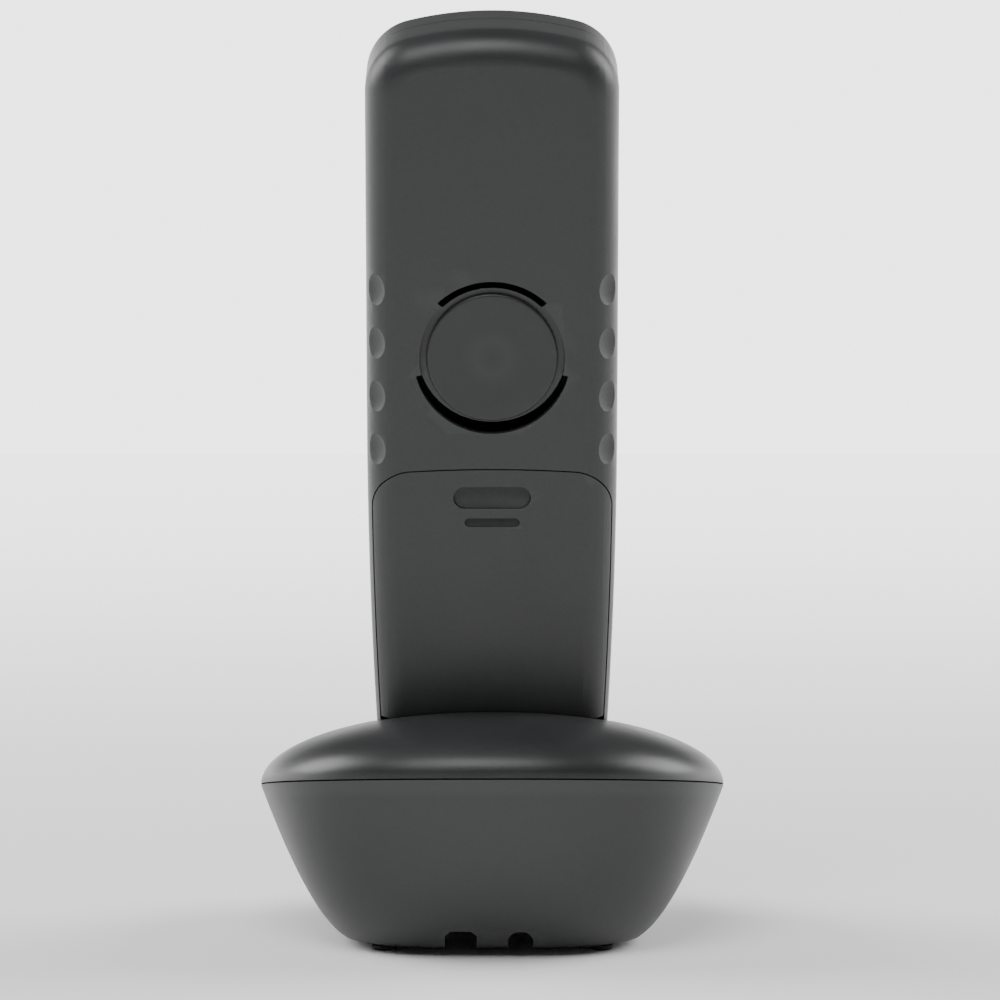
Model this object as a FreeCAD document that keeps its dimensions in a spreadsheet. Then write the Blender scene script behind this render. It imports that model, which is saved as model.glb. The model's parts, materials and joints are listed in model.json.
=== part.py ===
"""Cordless telephone: a handset that stands in a pebble-shaped charging base.

Millimetres, +Z up. The origin is on the floor under the middle of the base, the keypad faces -Y and the
handset's back faces +Y. Handset pieces are drawn upright in the handset's own frame, whose origin is the
middle of the foot on the parting plane of its two housings, and are then leaned back into the cradle.
"""

import FreeCAD
import Part
import math
import os
import Sketcher
from FreeCAD import Placement, Rotation, Vector

doc = FreeCAD.newDocument("CordlessPhone")
sheet = doc.addObject("Spreadsheet::Sheet", "Sheet")

drivingDimensions = {
    # base
    "baseWidth": 96, "baseDepth": 88, "footprintWidth": 59, "footprintDepth": 46,
    "seamHeight": 31.5, "seamSlope": 0.185, "domeRise": 15.4, "baseWall": 2, "footHeight": 1,
    "seamGap": 0.15, "boardHeight": 15.2, "boardThickness": 1.4,
    "wellWidth": 38, "wellDepth": 21, "wellRear": 17, "wellRoof": 13, "wellWall": 1.6,
    "notchHeight": 4.9, "wideNotch": 6.5, "wideNotchPlace": 6.4, "slimNotch": 5.2, "slimNotchPlace": -5.8,
    "socketWidth": 13, "socketDepth": 12, "socketHeight": 10.6, "lineMouth": 9.9, "powerMouth": 7.9,
    "socketSpread": 8.2, "pagingRadius": 4.4, "pagingPlace": -32.5, "keyGap": 0.3,
    # cradle
    "lean": 10, "cradleBack": -6, "cradleHeight": 30.5, "cradleGap": 0.8, "cradleWall": 1.6,
    # handset outline and depths
    "handsetLength": 163, "halfWidth": 25.5, "topArc": 71, "topCorner": 11, "taperStart": 80,
    "taperArc": 1160, "footCorner": 9, "backDepth": 16, "frontDepth": 12, "backRound": 6.5,
    "frontRound": 4, "shellWall": 1.8,
    # back of the handset
    "ringerHeight": 96.5, "ringerRadius": 13.25, "ringerGroove": 14.7,
    "coverTop": 73, "coverFoot": 19.65, "coverMargin": 1.1, "coverCorner": 8, "coverGap": 0.25, "coverDepth": 11.6,
    "hingeHeight": 19.6, "hingeDepth": 14.6, "hingePin": 0.9,
    "gripTop": 110.3, "gripPitch": 11.1, "gripBall": 9, "gripSink": 0.9,
    "cellRadius": 5.2, "cellLength": 44.5, "cellSpread": 6.2, "cellDepth": 8.3, "cellFoot": 21,
    # front of the handset
    "lensWidth": 41, "lensHeight": 46, "lensFoot": 95, "lensThickness": 1,
    "keyWidth": 11.6, "keyHeight": 7.4, "keyPitchAcross": 14, "keyPitchUp": 10.6, "keyFoot": 22.5,
    "keyProud": 0.7, "keyFlange": 0.7, "navRadius": 10, "navHeight": 77, "navCentre": 4.2,
    "navPivot": 9.42, "callPlace": 17, "callHeight": 73, "softHeight": 85.5, "earHeight": 151, "earRadius": 9,
    "micHeight": 9, "screwPlace": 18, "screwHeight": 64.6, "mainBoard": 6.2, "padPlace": 12,
}

for row, (alias, value) in enumerate(drivingDimensions.items(), start=1):
    sheet.set(f"A{row}", alias)
    sheet.set(f"B{row}", str(value))
    sheet.setAlias(f"B{row}", alias)
doc.recompute()


def dim(alias):
    """The sheet's present value for one driving dimension."""
    return float(sheet.get(alias))


def bind(thing, **expressions):
    """Bind properties of one object to expressions; plain aliases are looked up in the sheet."""
    for prop, text in expressions.items():
        thing.setExpression(prop.replace("__", "."), inSheet(text))


def inSheet(text):
    """Put the sheet's name before each alias in an expression."""
    words = []
    word = ""
    for letter in str(text) + " ":
        if letter.isalnum():
            word += letter
            continue
        words.append("Sheet." + word if word in drivingDimensions else word)
        words.append(letter)
        word = ""
    return "".join(words).strip()


def place(thing, x="0", y="0", z="0"):
    for axis, text in (("x", x), ("y", y), ("z", z)):
        thing.setExpression("Placement.Base." + axis, inSheet(text))


def box(name, size, corner):
    """A block: size and lowest corner, each three expressions."""
    block = doc.addObject("Part::Box", name)
    bind(block, Length=size[0], Width=size[1], Height=size[2])
    place(block, *corner)
    return block


def cylinder(name, radius, height, centre, direction=Vector(0, 0, 1)):
    """A round bar from centre along direction."""
    bar = doc.addObject("Part::Cylinder", name)
    bar.Placement = Placement(Vector(), Rotation(Vector(0, 0, 1), direction))
    bind(bar, Radius=radius, Height=height)
    place(bar, *centre)
    return bar


def fuse(name, pieces):
    joined = doc.addObject("Part::MultiFuse", name)
    joined.Shapes = pieces
    return joined


def cut(name, base, tool):
    remainder = doc.addObject("Part::Cut", name)
    remainder.Base = base
    remainder.Tool = tool
    return remainder


def common(name, pieces):
    shared = doc.addObject("Part::MultiCommon", name)
    shared.Shapes = pieces
    return shared


def group(name, pieces):
    """Separate identical solids kept as one sub-part."""
    together = doc.addObject("Part::Compound", name)
    together.Links = pieces
    return together


subParts = []


def subPart(thing, label, stand=None):
    """Give a finished sub-part its own label and, for the handset's pieces, the handset's stand."""
    thing.Label = label
    if stand is not None:
        thing.Placement = stand
    subParts.append(thing)
    return thing


handsetStand = Placement(
    Vector(0, dim("cradleBack"), dim("cradleHeight")), Rotation(Vector(1, 0, 0), -dim("lean"))
)

# ---------------------------------------------------------------- sketches for the bodies


def originPlane(body, role):
    return [plane for plane in body.Origin.OriginFeatures if plane.Role == role][0]


def sketchOn(body, role, name, offset="0"):
    sketch = body.newObject("Sketcher::SketchObject", name)
    sketch.AttachmentSupport = [(originPlane(body, role), "")]
    sketch.MapMode = "FlatFace"
    sketch.setExpression(".AttachmentOffset.Base.z", inSheet(offset))
    return sketch


def sized(sketch, constraint, text):
    """Add one constraint and bind its value to an expression."""
    number = sketch.addConstraint(constraint)
    sketch.setExpression(f"Constraints[{number}]", inSheet(text))


def drawRectangle(sketch, left, foot, width, height):
    """A rectangle from its lower left corner, each size an expression."""
    corners = [Vector(0, 0, 0), Vector(10, 0, 0), Vector(10, 10, 0), Vector(0, 10, 0)]
    first = sketch.GeometryCount
    for number in range(4):
        sketch.addGeometry(Part.LineSegment(corners[number], corners[(number + 1) % 4]))
    for number in range(4):
        following = first + (number + 1) % 4
        sketch.addConstraint(Sketcher.Constraint("Coincident", first + number, 2, following, 1))
    for number, way in enumerate(("Horizontal", "Vertical", "Horizontal", "Vertical")):
        sketch.addConstraint(Sketcher.Constraint(way, first + number))
    sized(sketch, Sketcher.Constraint("DistanceX", first, 1, first, 2, 10), width)
    sized(sketch, Sketcher.Constraint("DistanceY", first + 1, 1, first + 1, 2, 10), height)
    sized(sketch, Sketcher.Constraint("DistanceX", -1, 1, first, 1, 1), left)
    sized(sketch, Sketcher.Constraint("DistanceY", -1, 1, first, 1, 1), foot)


def drawCircle(sketch, x, y, radius):
    number = sketch.addGeometry(Part.Circle(Vector(1, 1, 0), Vector(0, 0, 1), 1))
    sized(sketch, Sketcher.Constraint("Radius", number, 1), radius)
    sized(sketch, Sketcher.Constraint("DistanceX", -1, 1, number, 3, 1), x)
    sized(sketch, Sketcher.Constraint("DistanceY", -1, 1, number, 3, 1), y)


def drawEllipse(sketch, x, y, halfWidth, halfHeight):
    """An ellipse that is wider than it is tall, at x and y, from the sheet's present values."""
    centre = Vector(x, y, 0)
    sketch.addGeometry(Part.Ellipse(centre + Vector(halfWidth, 0, 0), centre + Vector(0, halfHeight, 0), centre))


def pad(body, sketch, length, forward=True, name="Pad"):
    feature = body.newObject("PartDesign::Pad", name)
    feature.Profile = sketch
    feature.setExpression("Length", inSheet(length))
    feature.Reversed = not forward
    sketch.Visibility = False
    return feature


def pocket(body, sketch, length, forward=True, name="Pocket"):
    """A pocket, with its direction proved by the volume that it takes away."""
    doc.recompute()
    before = body.Shape.Volume
    feature = body.newObject("PartDesign::Pocket", name)
    feature.Profile = sketch
    feature.setExpression("Length", inSheet(length))
    feature.Reversed = not forward
    doc.recompute()
    if body.Shape.Volume >= before - 0.01:
        raise RuntimeError(f"{feature.Name} in {body.Label} cuts nothing")
    return feature


def newBody(name):
    return doc.addObject("PartDesign::Body", name)


def handsetOutline(inset=0.0):
    """The handset's outline from the front: a shallow top arch, round shoulders, straight sides that taper
    gently to the foot, and small foot corners. Returns its edges, inset evenly by inset."""
    half = dim("halfWidth") - inset
    top = dim("topArc") - inset
    shoulder = dim("topCorner") - inset
    foot = dim("footCorner") - inset
    taper = dim("taperArc") - inset
    archCentre = Vector(0, dim("handsetLength") - dim("topArc"), 0)
    shoulderX = half - shoulder
    reach = top - shoulder
    shoulderCentre = Vector(shoulderX, archCentre.y + math.sqrt(reach**2 - shoulderX**2), 0)
    taperCentre = Vector(half - taper, dim("taperStart"), 0)
    footY = inset + foot
    footX = taperCentre.x + math.sqrt((taper - foot) ** 2 - (taperCentre.y - footY) ** 2)
    footCentre = Vector(footX, footY, 0)

    def onward(start, end, length):
        return start + (end - start).normalize() * length

    crown = archCentre + Vector(0, top, 0)
    archEnd = onward(archCentre, shoulderCentre, top)
    shoulderEnd = shoulderCentre + Vector(shoulder, 0, 0)
    taperTop = Vector(half, taperCentre.y, 0)
    taperFoot = onward(taperCentre, footCentre, taper)
    footEnd = footCentre + Vector(0, -foot, 0)

    def bend(centre, radius, start, end):
        middle = centre + ((start - centre) + (end - centre)).normalize() * radius
        return start, middle, end

    rightSide = [
        bend(archCentre, top, crown, archEnd),
        bend(shoulderCentre, shoulder, archEnd, shoulderEnd),
        (shoulderEnd, None, taperTop),
        bend(taperCentre, taper, taperTop, taperFoot),
        bend(footCentre, foot, taperFoot, footEnd),
    ]

    def mirrored(point):
        return None if point is None else Vector(-point.x, point.y, 0)

    leftSide = [tuple(mirrored(p) for p in reversed(span)) for span in reversed(rightSide)]
    return rightSide + [(footEnd, None, mirrored(footEnd))] + leftSide


def drawOutline(sketch, inset=0.0):
    for start, middle, end in handsetOutline(inset):
        curve = Part.LineSegment(start, end) if middle is None else Part.Arc(start, middle, end)
        sketch.addGeometry(curve)
    for number in range(sketch.GeometryCount):
        sketch.addConstraint(Sketcher.Constraint("Block", number))


def edgesAtDepth(shape, depth):
    """The names of the edges that lie wholly at one depth."""
    names = []
    for number, edge in enumerate(shape.Edges, start=1):
        bounds = edge.BoundBox
        if abs(bounds.YMin - depth) < 1e-4 and abs(bounds.YMax - depth) < 1e-4:
            names.append(f"Edge{number}")
    return names


def facesAtDepth(shape, depth):
    names = []
    for number, face in enumerate(shape.Faces, start=1):
        if abs(face.BoundBox.YMin - depth) < 1e-4 and abs(face.BoundBox.YMax - depth) < 1e-4:
            names.append(f"Face{number}")
    return names


def roundedShell(body, depth, roundness, backward, wall):
    """One handset half: the outline padded from the parting plane, its outer edge rounded, then hollowed."""
    sketch = sketchOn(body, "XZ_Plane", body.Name + "Outline")
    drawOutline(sketch)
    slab = pad(body, sketch, depth, forward=not backward)
    doc.recompute()
    side = dim(depth) if backward else -dim(depth)
    rounding = body.newObject("PartDesign::Fillet", "OuterRound")
    rounding.Base = (slab, edgesAtDepth(slab.Shape, side))
    rounding.setExpression("Radius", inSheet(roundness))
    doc.recompute()
    hollow = body.newObject("PartDesign::Thickness", "Hollow")
    hollow.Base = (rounding, facesAtDepth(rounding.Shape, 0.0))
    hollow.Reversed = True
    hollow.setExpression("Value", inSheet(wall))
    doc.recompute()
    return hollow


# ---------------------------------------------------------------- handset: rear half


def makeRearHousing():
    body = newBody("RearHousing")
    roundedShell(body, "backDepth", "backRound", True, "shellWall")

    # tray floor, bulkheads and cell walls, all reaching the cover's underside
    walls = [
        ("TrayFloor", "1", "1.4", ("-23.6", "4"), ("47.2", "coverTop")),
        ("UpperBulkhead", "1", "13", ("-23.6", "coverTop + 2.6"), ("47.2", "1.4")),
        ("FootBulkhead", "1", "13", ("-16", "cellFoot - 6.6"), ("32", "1.4")),
        ("TopCellWall", "1", "13", ("-13.4", "cellFoot + cellLength + 5"), ("26.8", "1.4")),
        ("LeftCellWall", "1", "13", ("-13.4", "cellFoot - 6"), ("1.2", "cellLength + 12")),
        ("RightCellWall", "1", "13", ("12.2", "cellFoot - 6"), ("1.2", "cellLength + 12")),
    ]
    for name, start, depth, corner, size in walls:
        sketch = sketchOn(body, "XZ_Plane", name + "Sketch", "0 - " + start)
        drawRectangle(sketch, corner[0], corner[1], size[0], size[1])
        pad(body, sketch, depth, forward=False, name=name)

    # the cover's opening, with a round-cornered head and an open foot in the cradle
    opening = sketchOn(body, "XZ_Plane", "CoverOpening", "0 - coverDepth + 0.3")
    drawCoverOutline(opening, dim("coverGap"), dim("coverFoot") - 1.05)
    pocket(body, opening, "8", name="CoverPocket")

    screwHoles = sketchOn(body, "XZ_Plane", "ScrewHoleSketch", "0")
    for side in (-1, 1):
        drawCircle(screwHoles, f"{side} * screwPlace", "screwHeight", "1.1")
    pocket(body, screwHoles, "4", name="ScrewHoles")

    # the ringer's seat, its sound slots and the groove around its cover
    seat = sketchOn(body, "XZ_Plane", "RingerGrooveSketch", "0 - backDepth + 1")
    drawCircle(seat, "0", "ringerHeight", "ringerGroove")
    pocket(body, seat, "2", name="RingerGroove")
    sound = sketchOn(body, "XZ_Plane", "SoundHoleSketch", "0 - backDepth + 3")
    for number in range(8):
        angle = 45 * number
        drawCircle(sound, f"8 * cos({angle})", f"ringerHeight + 8 * sin({angle})", "1.4")
    pocket(body, sound, "3", name="SoundHoles")

    # finger scallops, sunk into the rounded back edges on both sides
    doc.recompute()
    balls = []
    for name, side in (("GripRight", 1), ("GripLeft", -1)):
        ball = body.newObject("PartDesign::SubtractiveSphere", name)
        bind(ball, Radius="gripBall")
        stand = dim("gripBall") - dim("gripSink")
        corner = dim("backRound") * (1 - math.sqrt(0.5))
        out = dim("halfWidth") - 0.35 - corner + stand * math.sqrt(0.5)
        back = dim("backDepth") - corner + stand * math.sqrt(0.5)
        ball.AttachmentSupport = [(originPlane(body, "XY_Plane"), "")]
        ball.MapMode = "FlatFace"
        ball.AttachmentOffset = Placement(Vector(side * out, back, dim("gripTop")), Rotation())
        balls.append(ball)
        doc.recompute()
    row = body.newObject("PartDesign::LinearPattern", "GripRow")
    row.Originals = balls
    row.Direction = ([f for f in body.Origin.OriginFeatures if f.Role == "Z_Axis"][0], [""])
    row.Reversed = True
    bind(row, Length="3 * gripPitch")
    row.Occurrences = 4
    body.Tip = row
    doc.recompute()
    return body


def drawCoverOutline(sketch, gap, foot):
    """The battery cover's outline: sides that keep one margin to the handset's own tapering sides, a shallow
    arched head and two round shoulders."""
    head = dim("coverTop") + gap
    shoulder = dim("coverCorner") + gap
    sag = 0.5

    def halfAt(height):
        narrowing = (dim("taperStart") - height) ** 2 / (2 * dim("taperArc"))
        return dim("halfWidth") - dim("coverMargin") + gap - narrowing

    shoulderY = head - sag - shoulder
    half = halfAt(shoulderY)
    turn = shoulder * math.sqrt(0.5)
    middleY = (foot + shoulderY) / 2
    rightSide = [Vector(halfAt(foot), foot, 0), Vector(halfAt(middleY), middleY, 0), Vector(half, shoulderY, 0)]
    rightMiddle = Vector(half - shoulder + turn, shoulderY + turn, 0)
    rightHead = Vector(half - shoulder, head - sag, 0)

    def mirrored(point):
        return Vector(-point.x, point.y, 0)

    sketch.addGeometry(Part.LineSegment(mirrored(rightSide[0]), rightSide[0]))
    sketch.addGeometry(Part.Arc(*rightSide))
    sketch.addGeometry(Part.Arc(rightSide[2], rightMiddle, rightHead))
    sketch.addGeometry(Part.Arc(rightHead, Vector(0, head, 0), mirrored(rightHead)))
    sketch.addGeometry(Part.Arc(mirrored(rightHead), mirrored(rightMiddle), mirrored(rightSide[2])))
    sketch.addGeometry(Part.Arc(*[mirrored(point) for point in reversed(rightSide)]))
    for number in range(sketch.GeometryCount):
        sketch.addConstraint(Sketcher.Constraint("Block", number))


def makeBatteryCover():
    body = newBody("BatteryCover")
    roundedShell(body, "backDepth", "backRound", True, "shellWall - 0.2")

    # everything outside the cover's outline is trimmed away, and so are the shell's deep side walls
    trim = sketchOn(body, "XZ_Plane", "TrimSketch", "1")
    drawRectangle(trim, "-40", "-20", "80", "220")
    drawCoverOutline(trim, 0, dim("coverFoot"))
    pocket(body, trim, "30", name="Trim")
    sides = sketchOn(body, "XZ_Plane", "SideSketch", "1")
    drawRectangle(sides, "-40", "-20", "80", "220")
    pocket(body, sides, "coverDepth + 1", name="SideTrim")

    # the thumb recess near the head
    thumb = sketchOn(body, "XZ_Plane", "ThumbSketch", "0 - backDepth + 0.7")
    drawEllipse(thumb, 0, dim("coverTop") - 5.6, 7.4, 2.2)
    pocket(body, thumb, "2", name="ThumbRecess")

    # two round lugs at the foot that the cover swings on
    for name, side in (("LugRight", "15"), ("LugLeft", "0 - 19")):
        lug = sketchOn(body, "YZ_Plane", name, side)
        drawCircle(lug, "hingeDepth", "hingeHeight", "hingePin")
        pad(body, lug, "4", name=name + "Pin")
    doc.recompute()
    return body


def makeHandsetBack():
    subPart(makeRearHousing(), "rear_housing", handsetStand)
    subPart(makeBatteryCover(), "battery_cover", handsetStand)

    disc = newBody("RingerCover")
    sketch = sketchOn(disc, "XZ_Plane", "DiscSketch", "0 - backDepth + 0.9")
    drawCircle(sketch, "0", "ringerHeight", "ringerRadius")
    plate = pad(disc, sketch, "0.8", forward=False)
    doc.recompute()
    edge = disc.newObject("PartDesign::Fillet", "DiscEdge")
    edge.Base = (plate, edgesAtDepth(plate.Shape, dim("backDepth") - 0.1))
    edge.Radius = 0.3
    subPart(disc, "ringer_cover", handsetStand)

    back = Vector(0, 1, 0)
    horn = cylinder("HornPlate", "11.4", "3.4", ("0", "9.4", "ringerHeight"), back)
    magnet = cylinder("HornMagnet", "6", "2.6", ("0", "6.8", "ringerHeight"), back)
    subPart(fuse("Horn", [horn, magnet]), "ringer_speaker", handsetStand)
    ring = cylinder("GasketDisc", "11.4", "1.2", ("0", "12.9", "ringerHeight"), back)
    bore = cylinder("GasketBore", "9.6", "3", ("0", "12", "ringerHeight"), back)
    subPart(cut("Gasket", ring, bore), "ringer_gasket", handsetStand)

    up = Vector(0, 0, 1)
    springs = []
    plates = []
    for side, name in ((-1, "left"), (1, "right")):
        x = f"{side} * cellSpread"
        can = cylinder(f"CellCan{name}", "cellRadius", "cellLength - 1", (x, "cellDepth", "cellFoot"), up)
        nub = cylinder(f"CellNub{name}", "1.9", "cellLength", (x, "cellDepth", "cellFoot"), up)
        subPart(fuse(f"Cell{name}", [can, nub]), f"battery_cell_{name}", handsetStand)
        plate = box(f"Plate{name}", ("7", "6.4", "0.4"),
                    (f"{x} - 3.5", "cellDepth - 3.2", "cellFoot + cellLength + 0.05"))
        plates.append(plate)
        springs.append(makeSpring(side))
    subPart(group("Springs", springs), "battery_springs", handsetStand)
    subPart(group("Plates", plates), "battery_plates", handsetStand)

    screws = []
    for side in (-1, 1):
        x = f"{side} * screwPlace"
        head = cylinder("ScrewHead", "2.1", "1.3", (x, "2.45", "screwHeight"), back)
        shank = cylinder("ScrewShank", "0.9", "8.5", (x, "2.5", "screwHeight"), Vector(0, -1, 0))
        screws.append(fuse("Screw", [head, shank]))
    subPart(group("HandsetScrews", screws), "handset_screws", handsetStand)


def makeSpring(side):
    """A conical minus spring under one cell: a wire ring stack on a base plate, drawn as one cone shell."""
    spring = doc.addObject("Part::Cone", "SpringCone")
    bind(spring, Radius1="3.6", Radius2="1.8", Height="4.2")
    place(spring, f"{side} * cellSpread", "cellDepth", "cellFoot - 4.4")
    bore = doc.addObject("Part::Cone", "SpringBore")
    bind(bore, Radius1="2.9", Radius2="1.1", Height="4.2")
    place(bore, f"{side} * cellSpread", "cellDepth", "cellFoot - 4.4")
    return cut("SpringShell", spring, bore)


# ---------------------------------------------------------------- handset: front half and keys

# each key: name, middle across, middle up, width and height, as expressions of the driving dimensions
digitNames = ["star", "zero", "hash", "seven", "eight", "nine", "four", "five", "six", "one", "two", "three"]
keys = []
for number, digit in enumerate(digitNames):
    across = f"{number % 3 - 1} * keyPitchAcross"
    up = f"keyFoot + {number // 3} * keyPitchUp"
    keys.append((f"key_{digit}", across, up, "keyWidth", "keyHeight"))
for side, call, soft in ((-1, "talk_key", "left_soft_key"), (1, "end_key", "right_soft_key")):
    keys.append((call, f"{side} * callPlace", "callHeight", "8.4", "9.4"))
    keys.append((soft, f"{side} * (callPlace - 1)", "softHeight", "10.4", "5.4"))


def makeFrontHousing():
    body = newBody("FrontHousing")
    roundedShell(body, "frontDepth", "frontRound", False, "shellWall")

    # bosses for the two screws
    bosses = sketchOn(body, "XZ_Plane", "BossSketch", "0.3")
    for side in (-1, 1):
        drawCircle(bosses, f"{side} * screwPlace", "screwHeight", "2.2")
    pad(body, bosses, "frontDepth - 1", name="Bosses")
    bores = sketchOn(body, "XZ_Plane", "BossBoreSketch", "9")
    for side in (-1, 1):
        drawCircle(bores, f"{side} * screwPlace", "screwHeight", "0.95")
    pocket(body, bores, "12", name="BossBores")

    # the lens seat and the window behind it
    seat = sketchOn(body, "XZ_Plane", "LensSeatSketch", "frontDepth")
    drawRectangle(seat, "0 - lensWidth / 2 - 0.15", "lensFoot - 0.15", "lensWidth + 0.3", "lensHeight + 0.3")
    pocket(body, seat, "lensThickness", name="LensSeat")
    window = sketchOn(body, "XZ_Plane", "WindowSketch", "frontDepth")
    drawRectangle(window, "0 - lensWidth / 2 + 2", "lensFoot + 2", "lensWidth - 4", "lensHeight - 4")
    pocket(body, window, "4", name="Window")

    # key openings
    openings = sketchOn(body, "XZ_Plane", "KeyOpeningSketch", "frontDepth + 1")
    for name, across, up, width, height in keys:
        left = f"{across} - {width} / 2 - keyGap"
        foot = f"{up} - {height} / 2 - keyGap"
        drawRectangle(openings, left, foot, f"{width} + 2 * keyGap", f"{height} + 2 * keyGap")
    drawCircle(openings, "0", "navHeight", "navRadius + 0.4")
    pocket(body, openings, "5", name="KeyOpenings")

    # earpiece slots and the microphone's hole
    sound = sketchOn(body, "XZ_Plane", "SoundSketch", "frontDepth + 1")
    for number in range(3):
        drawRectangle(sound, "0 - 4.5", f"earHeight - 3 + {number} * 2.4", "9", "1.2")
    drawCircle(sound, "6", "micHeight + 4", "0.6")
    pocket(body, sound, "5", name="SoundOpenings")

    # seats for the two charging pads, in the foot
    pads = sketchOn(body, "XY_Plane", "PadSeatSketch", "0 - 1")
    for side in (-1, 1):
        drawRectangle(pads, f"{side} * padPlace - 2.6", "0 - 7.6", "5.2", "5.2")
    pocket(body, pads, "1.7", forward=False, name="PadSeats")
    doc.recompute()
    return body


def makeKey(name, across, up, width, height):
    """One hard key cap with a retaining flange behind the housing's front wall."""
    title = "".join(word.capitalize() for word in name.split("_"))
    body = newBody(title)
    face = sketchOn(body, "XZ_Plane", title + "Face", "frontDepth + keyProud")
    drawRectangle(face, f"{across} - {width} / 2", f"{up} - {height} / 2", width, height)
    cap = pad(body, face, "shellWall + keyProud + 0.95", forward=False)
    doc.recompute()
    upright = []
    for number, edge in enumerate(cap.Shape.Edges, start=1):
        if edge.BoundBox.YLength > 1:
            upright.append(f"Edge{number}")
    corners = body.newObject("PartDesign::Fillet", title + "Corners")
    corners.Base = (cap, upright)
    corners.Radius = 2
    doc.recompute()
    rim = body.newObject("PartDesign::Chamfer", title + "Rim")
    rim.Base = (corners, edgesAtDepth(corners.Shape, -dim("frontDepth") - dim("keyProud")))
    rim.Size = 0.35
    flange = sketchOn(body, "XZ_Plane", title + "Flange", "frontDepth - shellWall - 0.15")
    wide = f"{width} + 2 * keyFlange"
    high = f"{height} + 2 * keyFlange"
    drawRectangle(flange, f"{across} - {width} / 2 - keyFlange", f"{up} - {height} / 2 - keyFlange", wide, high)
    pad(body, flange, "0.8", forward=False, name=title + "FlangePad")
    subPart(body, name, handsetStand)


def makeNavigation():
    """The rocking ring and the button in its middle."""
    ring = newBody("NavigationRing")
    face = sketchOn(ring, "XZ_Plane", "RingFace", "frontDepth + keyProud")
    drawCircle(face, "0", "navHeight", "navRadius")
    drawCircle(face, "0", "navHeight", "navCentre + 0.5")
    pad(ring, face, "3.6", forward=False)
    flange = sketchOn(ring, "XZ_Plane", "RingFlange", "frontDepth - shellWall - 0.45")
    drawCircle(flange, "0", "navHeight", "navRadius + keyFlange")
    drawCircle(flange, "0", "navHeight", "navCentre + 1.4")
    pad(ring, flange, "0.65", forward=False, name="RingFlangePad")
    pivots = [cylinder("RingPivot", "0.32", "2.4", (f"{side} * (navRadius - 0.8)", "0 - navPivot", "navHeight"),
                       Vector(side, 0, 0)) for side in (-1, 1)]
    subPart(fuse("NavigationKey", [ring] + pivots), "navigation_key", handsetStand)

    button = newBody("NavigationButton")
    face = sketchOn(button, "XZ_Plane", "ButtonFace", "frontDepth + keyProud + 0.1")
    drawCircle(face, "0", "navHeight", "navCentre")
    pad(button, face, "4", forward=False)
    subPart(button, "navigation_button", handsetStand)


def plate(name, label, depth, thickness, left, foot, width, height, holes=()):
    """A flat rectangular sub-part behind the handset's front wall, with optional round holes."""
    body = newBody(name)
    sketch = sketchOn(body, "XZ_Plane", name + "Sketch", depth)
    drawRectangle(sketch, left, foot, width, height)
    for x, z, radius in holes:
        drawCircle(sketch, x, z, radius)
    pad(body, sketch, thickness, forward=False)
    subPart(body, label, handsetStand)


def makeHandsetFront():
    subPart(makeFrontHousing(), "front_housing", handsetStand)
    for key in keys:
        makeKey(*key)
    makeNavigation()

    screwHoles = [(f"{side} * screwPlace", "screwHeight", "2.5") for side in (-1, 1)]
    plate("Lens", "display_lens", "frontDepth", "lensThickness - 0.05", "0 - lensWidth / 2", "lensFoot",
          "lensWidth", "lensHeight")
    plate("Display", "display_module", "frontDepth - shellWall - 0.1", "2.4", "0 - 20", "lensFoot + 1",
          "40", "44")
    plate("Backlight", "display_backlight", "frontDepth - shellWall - 2.6", "1.3", "0 - 20", "lensFoot + 1",
          "40", "44")
    plate("KeypadMat", "keypad_mat", "8.2", "1", "0 - 21", "17", "42", "74", screwHoles)
    plate("HandsetBoard", "handset_circuit_board", "mainBoard", "1.2", "0 - 21.4", "17", "42.8", "123",
          screwHoles)
    plate("HandsetShield", "handset_shield_can", "mainBoard - 1.25", "2.6", "0 - 14", "108", "28", "26")
    plate("EarMesh", "earpiece_mesh", "frontDepth - shellWall - 0.05", "0.3", "0 - 5.5", "earHeight - 4",
          "11", "8.4")

    domes = []
    for name, across, up, width, height in keys:
        domes.append(cylinder("SnapDome", "2.4", "0.3", (across, "0 - mainBoard - 0.35", up), Vector(0, 1, 0)))
    domes.append(cylinder("SnapDome", "2.4", "0.3", ("0", "0 - mainBoard - 0.35", "navHeight"), Vector(0, 1, 0)))
    subPart(group("SnapDomes", domes), "key_domes", handsetStand)

    back = Vector(0, 1, 0)
    frame = cylinder("EarFrame", "earRadius", "2.4", ("0", "0 - 9.7", "earHeight"), back)
    magnet = cylinder("EarMagnet", "earRadius / 2", "1.6", ("0", "0 - 7.4", "earHeight"), back)
    subPart(fuse("Earpiece", [frame, magnet]), "earpiece_speaker", handsetStand)
    capsule = cylinder("Capsule", "3", "2.2", ("6", "0 - 9.4", "micHeight + 4"), back)
    subPart(group("Microphone", [capsule]), "microphone", handsetStand)
    boot = cylinder("BootDisc", "3.9", "2.8", ("6", "0 - 9.9", "micHeight + 4"), back)
    bore = cylinder("BootBore", "3.05", "4", ("6", "0 - 9.45", "micHeight + 4"), back)
    throat = cylinder("BootThroat", "0.8", "4", ("6", "0 - 11", "micHeight + 4"), back)
    subPart(cut("Boot", boot, fuse("BootHollow", [bore, throat])), "microphone_boot", handsetStand)

    pads = []
    for side in (-1, 1):
        pads.append(box("ChargePad", ("5", "5", "0.65"), (f"{side} * padPlace - 2.5", "0 - 7.5", "0.02")))
    subPart(group("ChargePads", pads), "charge_pads", handsetStand)


# ---------------------------------------------------------------- base

seamTilt = math.degrees(math.atan(dim("seamSlope")))
seamNormal = Vector(0, -math.sin(math.radians(seamTilt)), math.cos(math.radians(seamTilt)))


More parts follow.
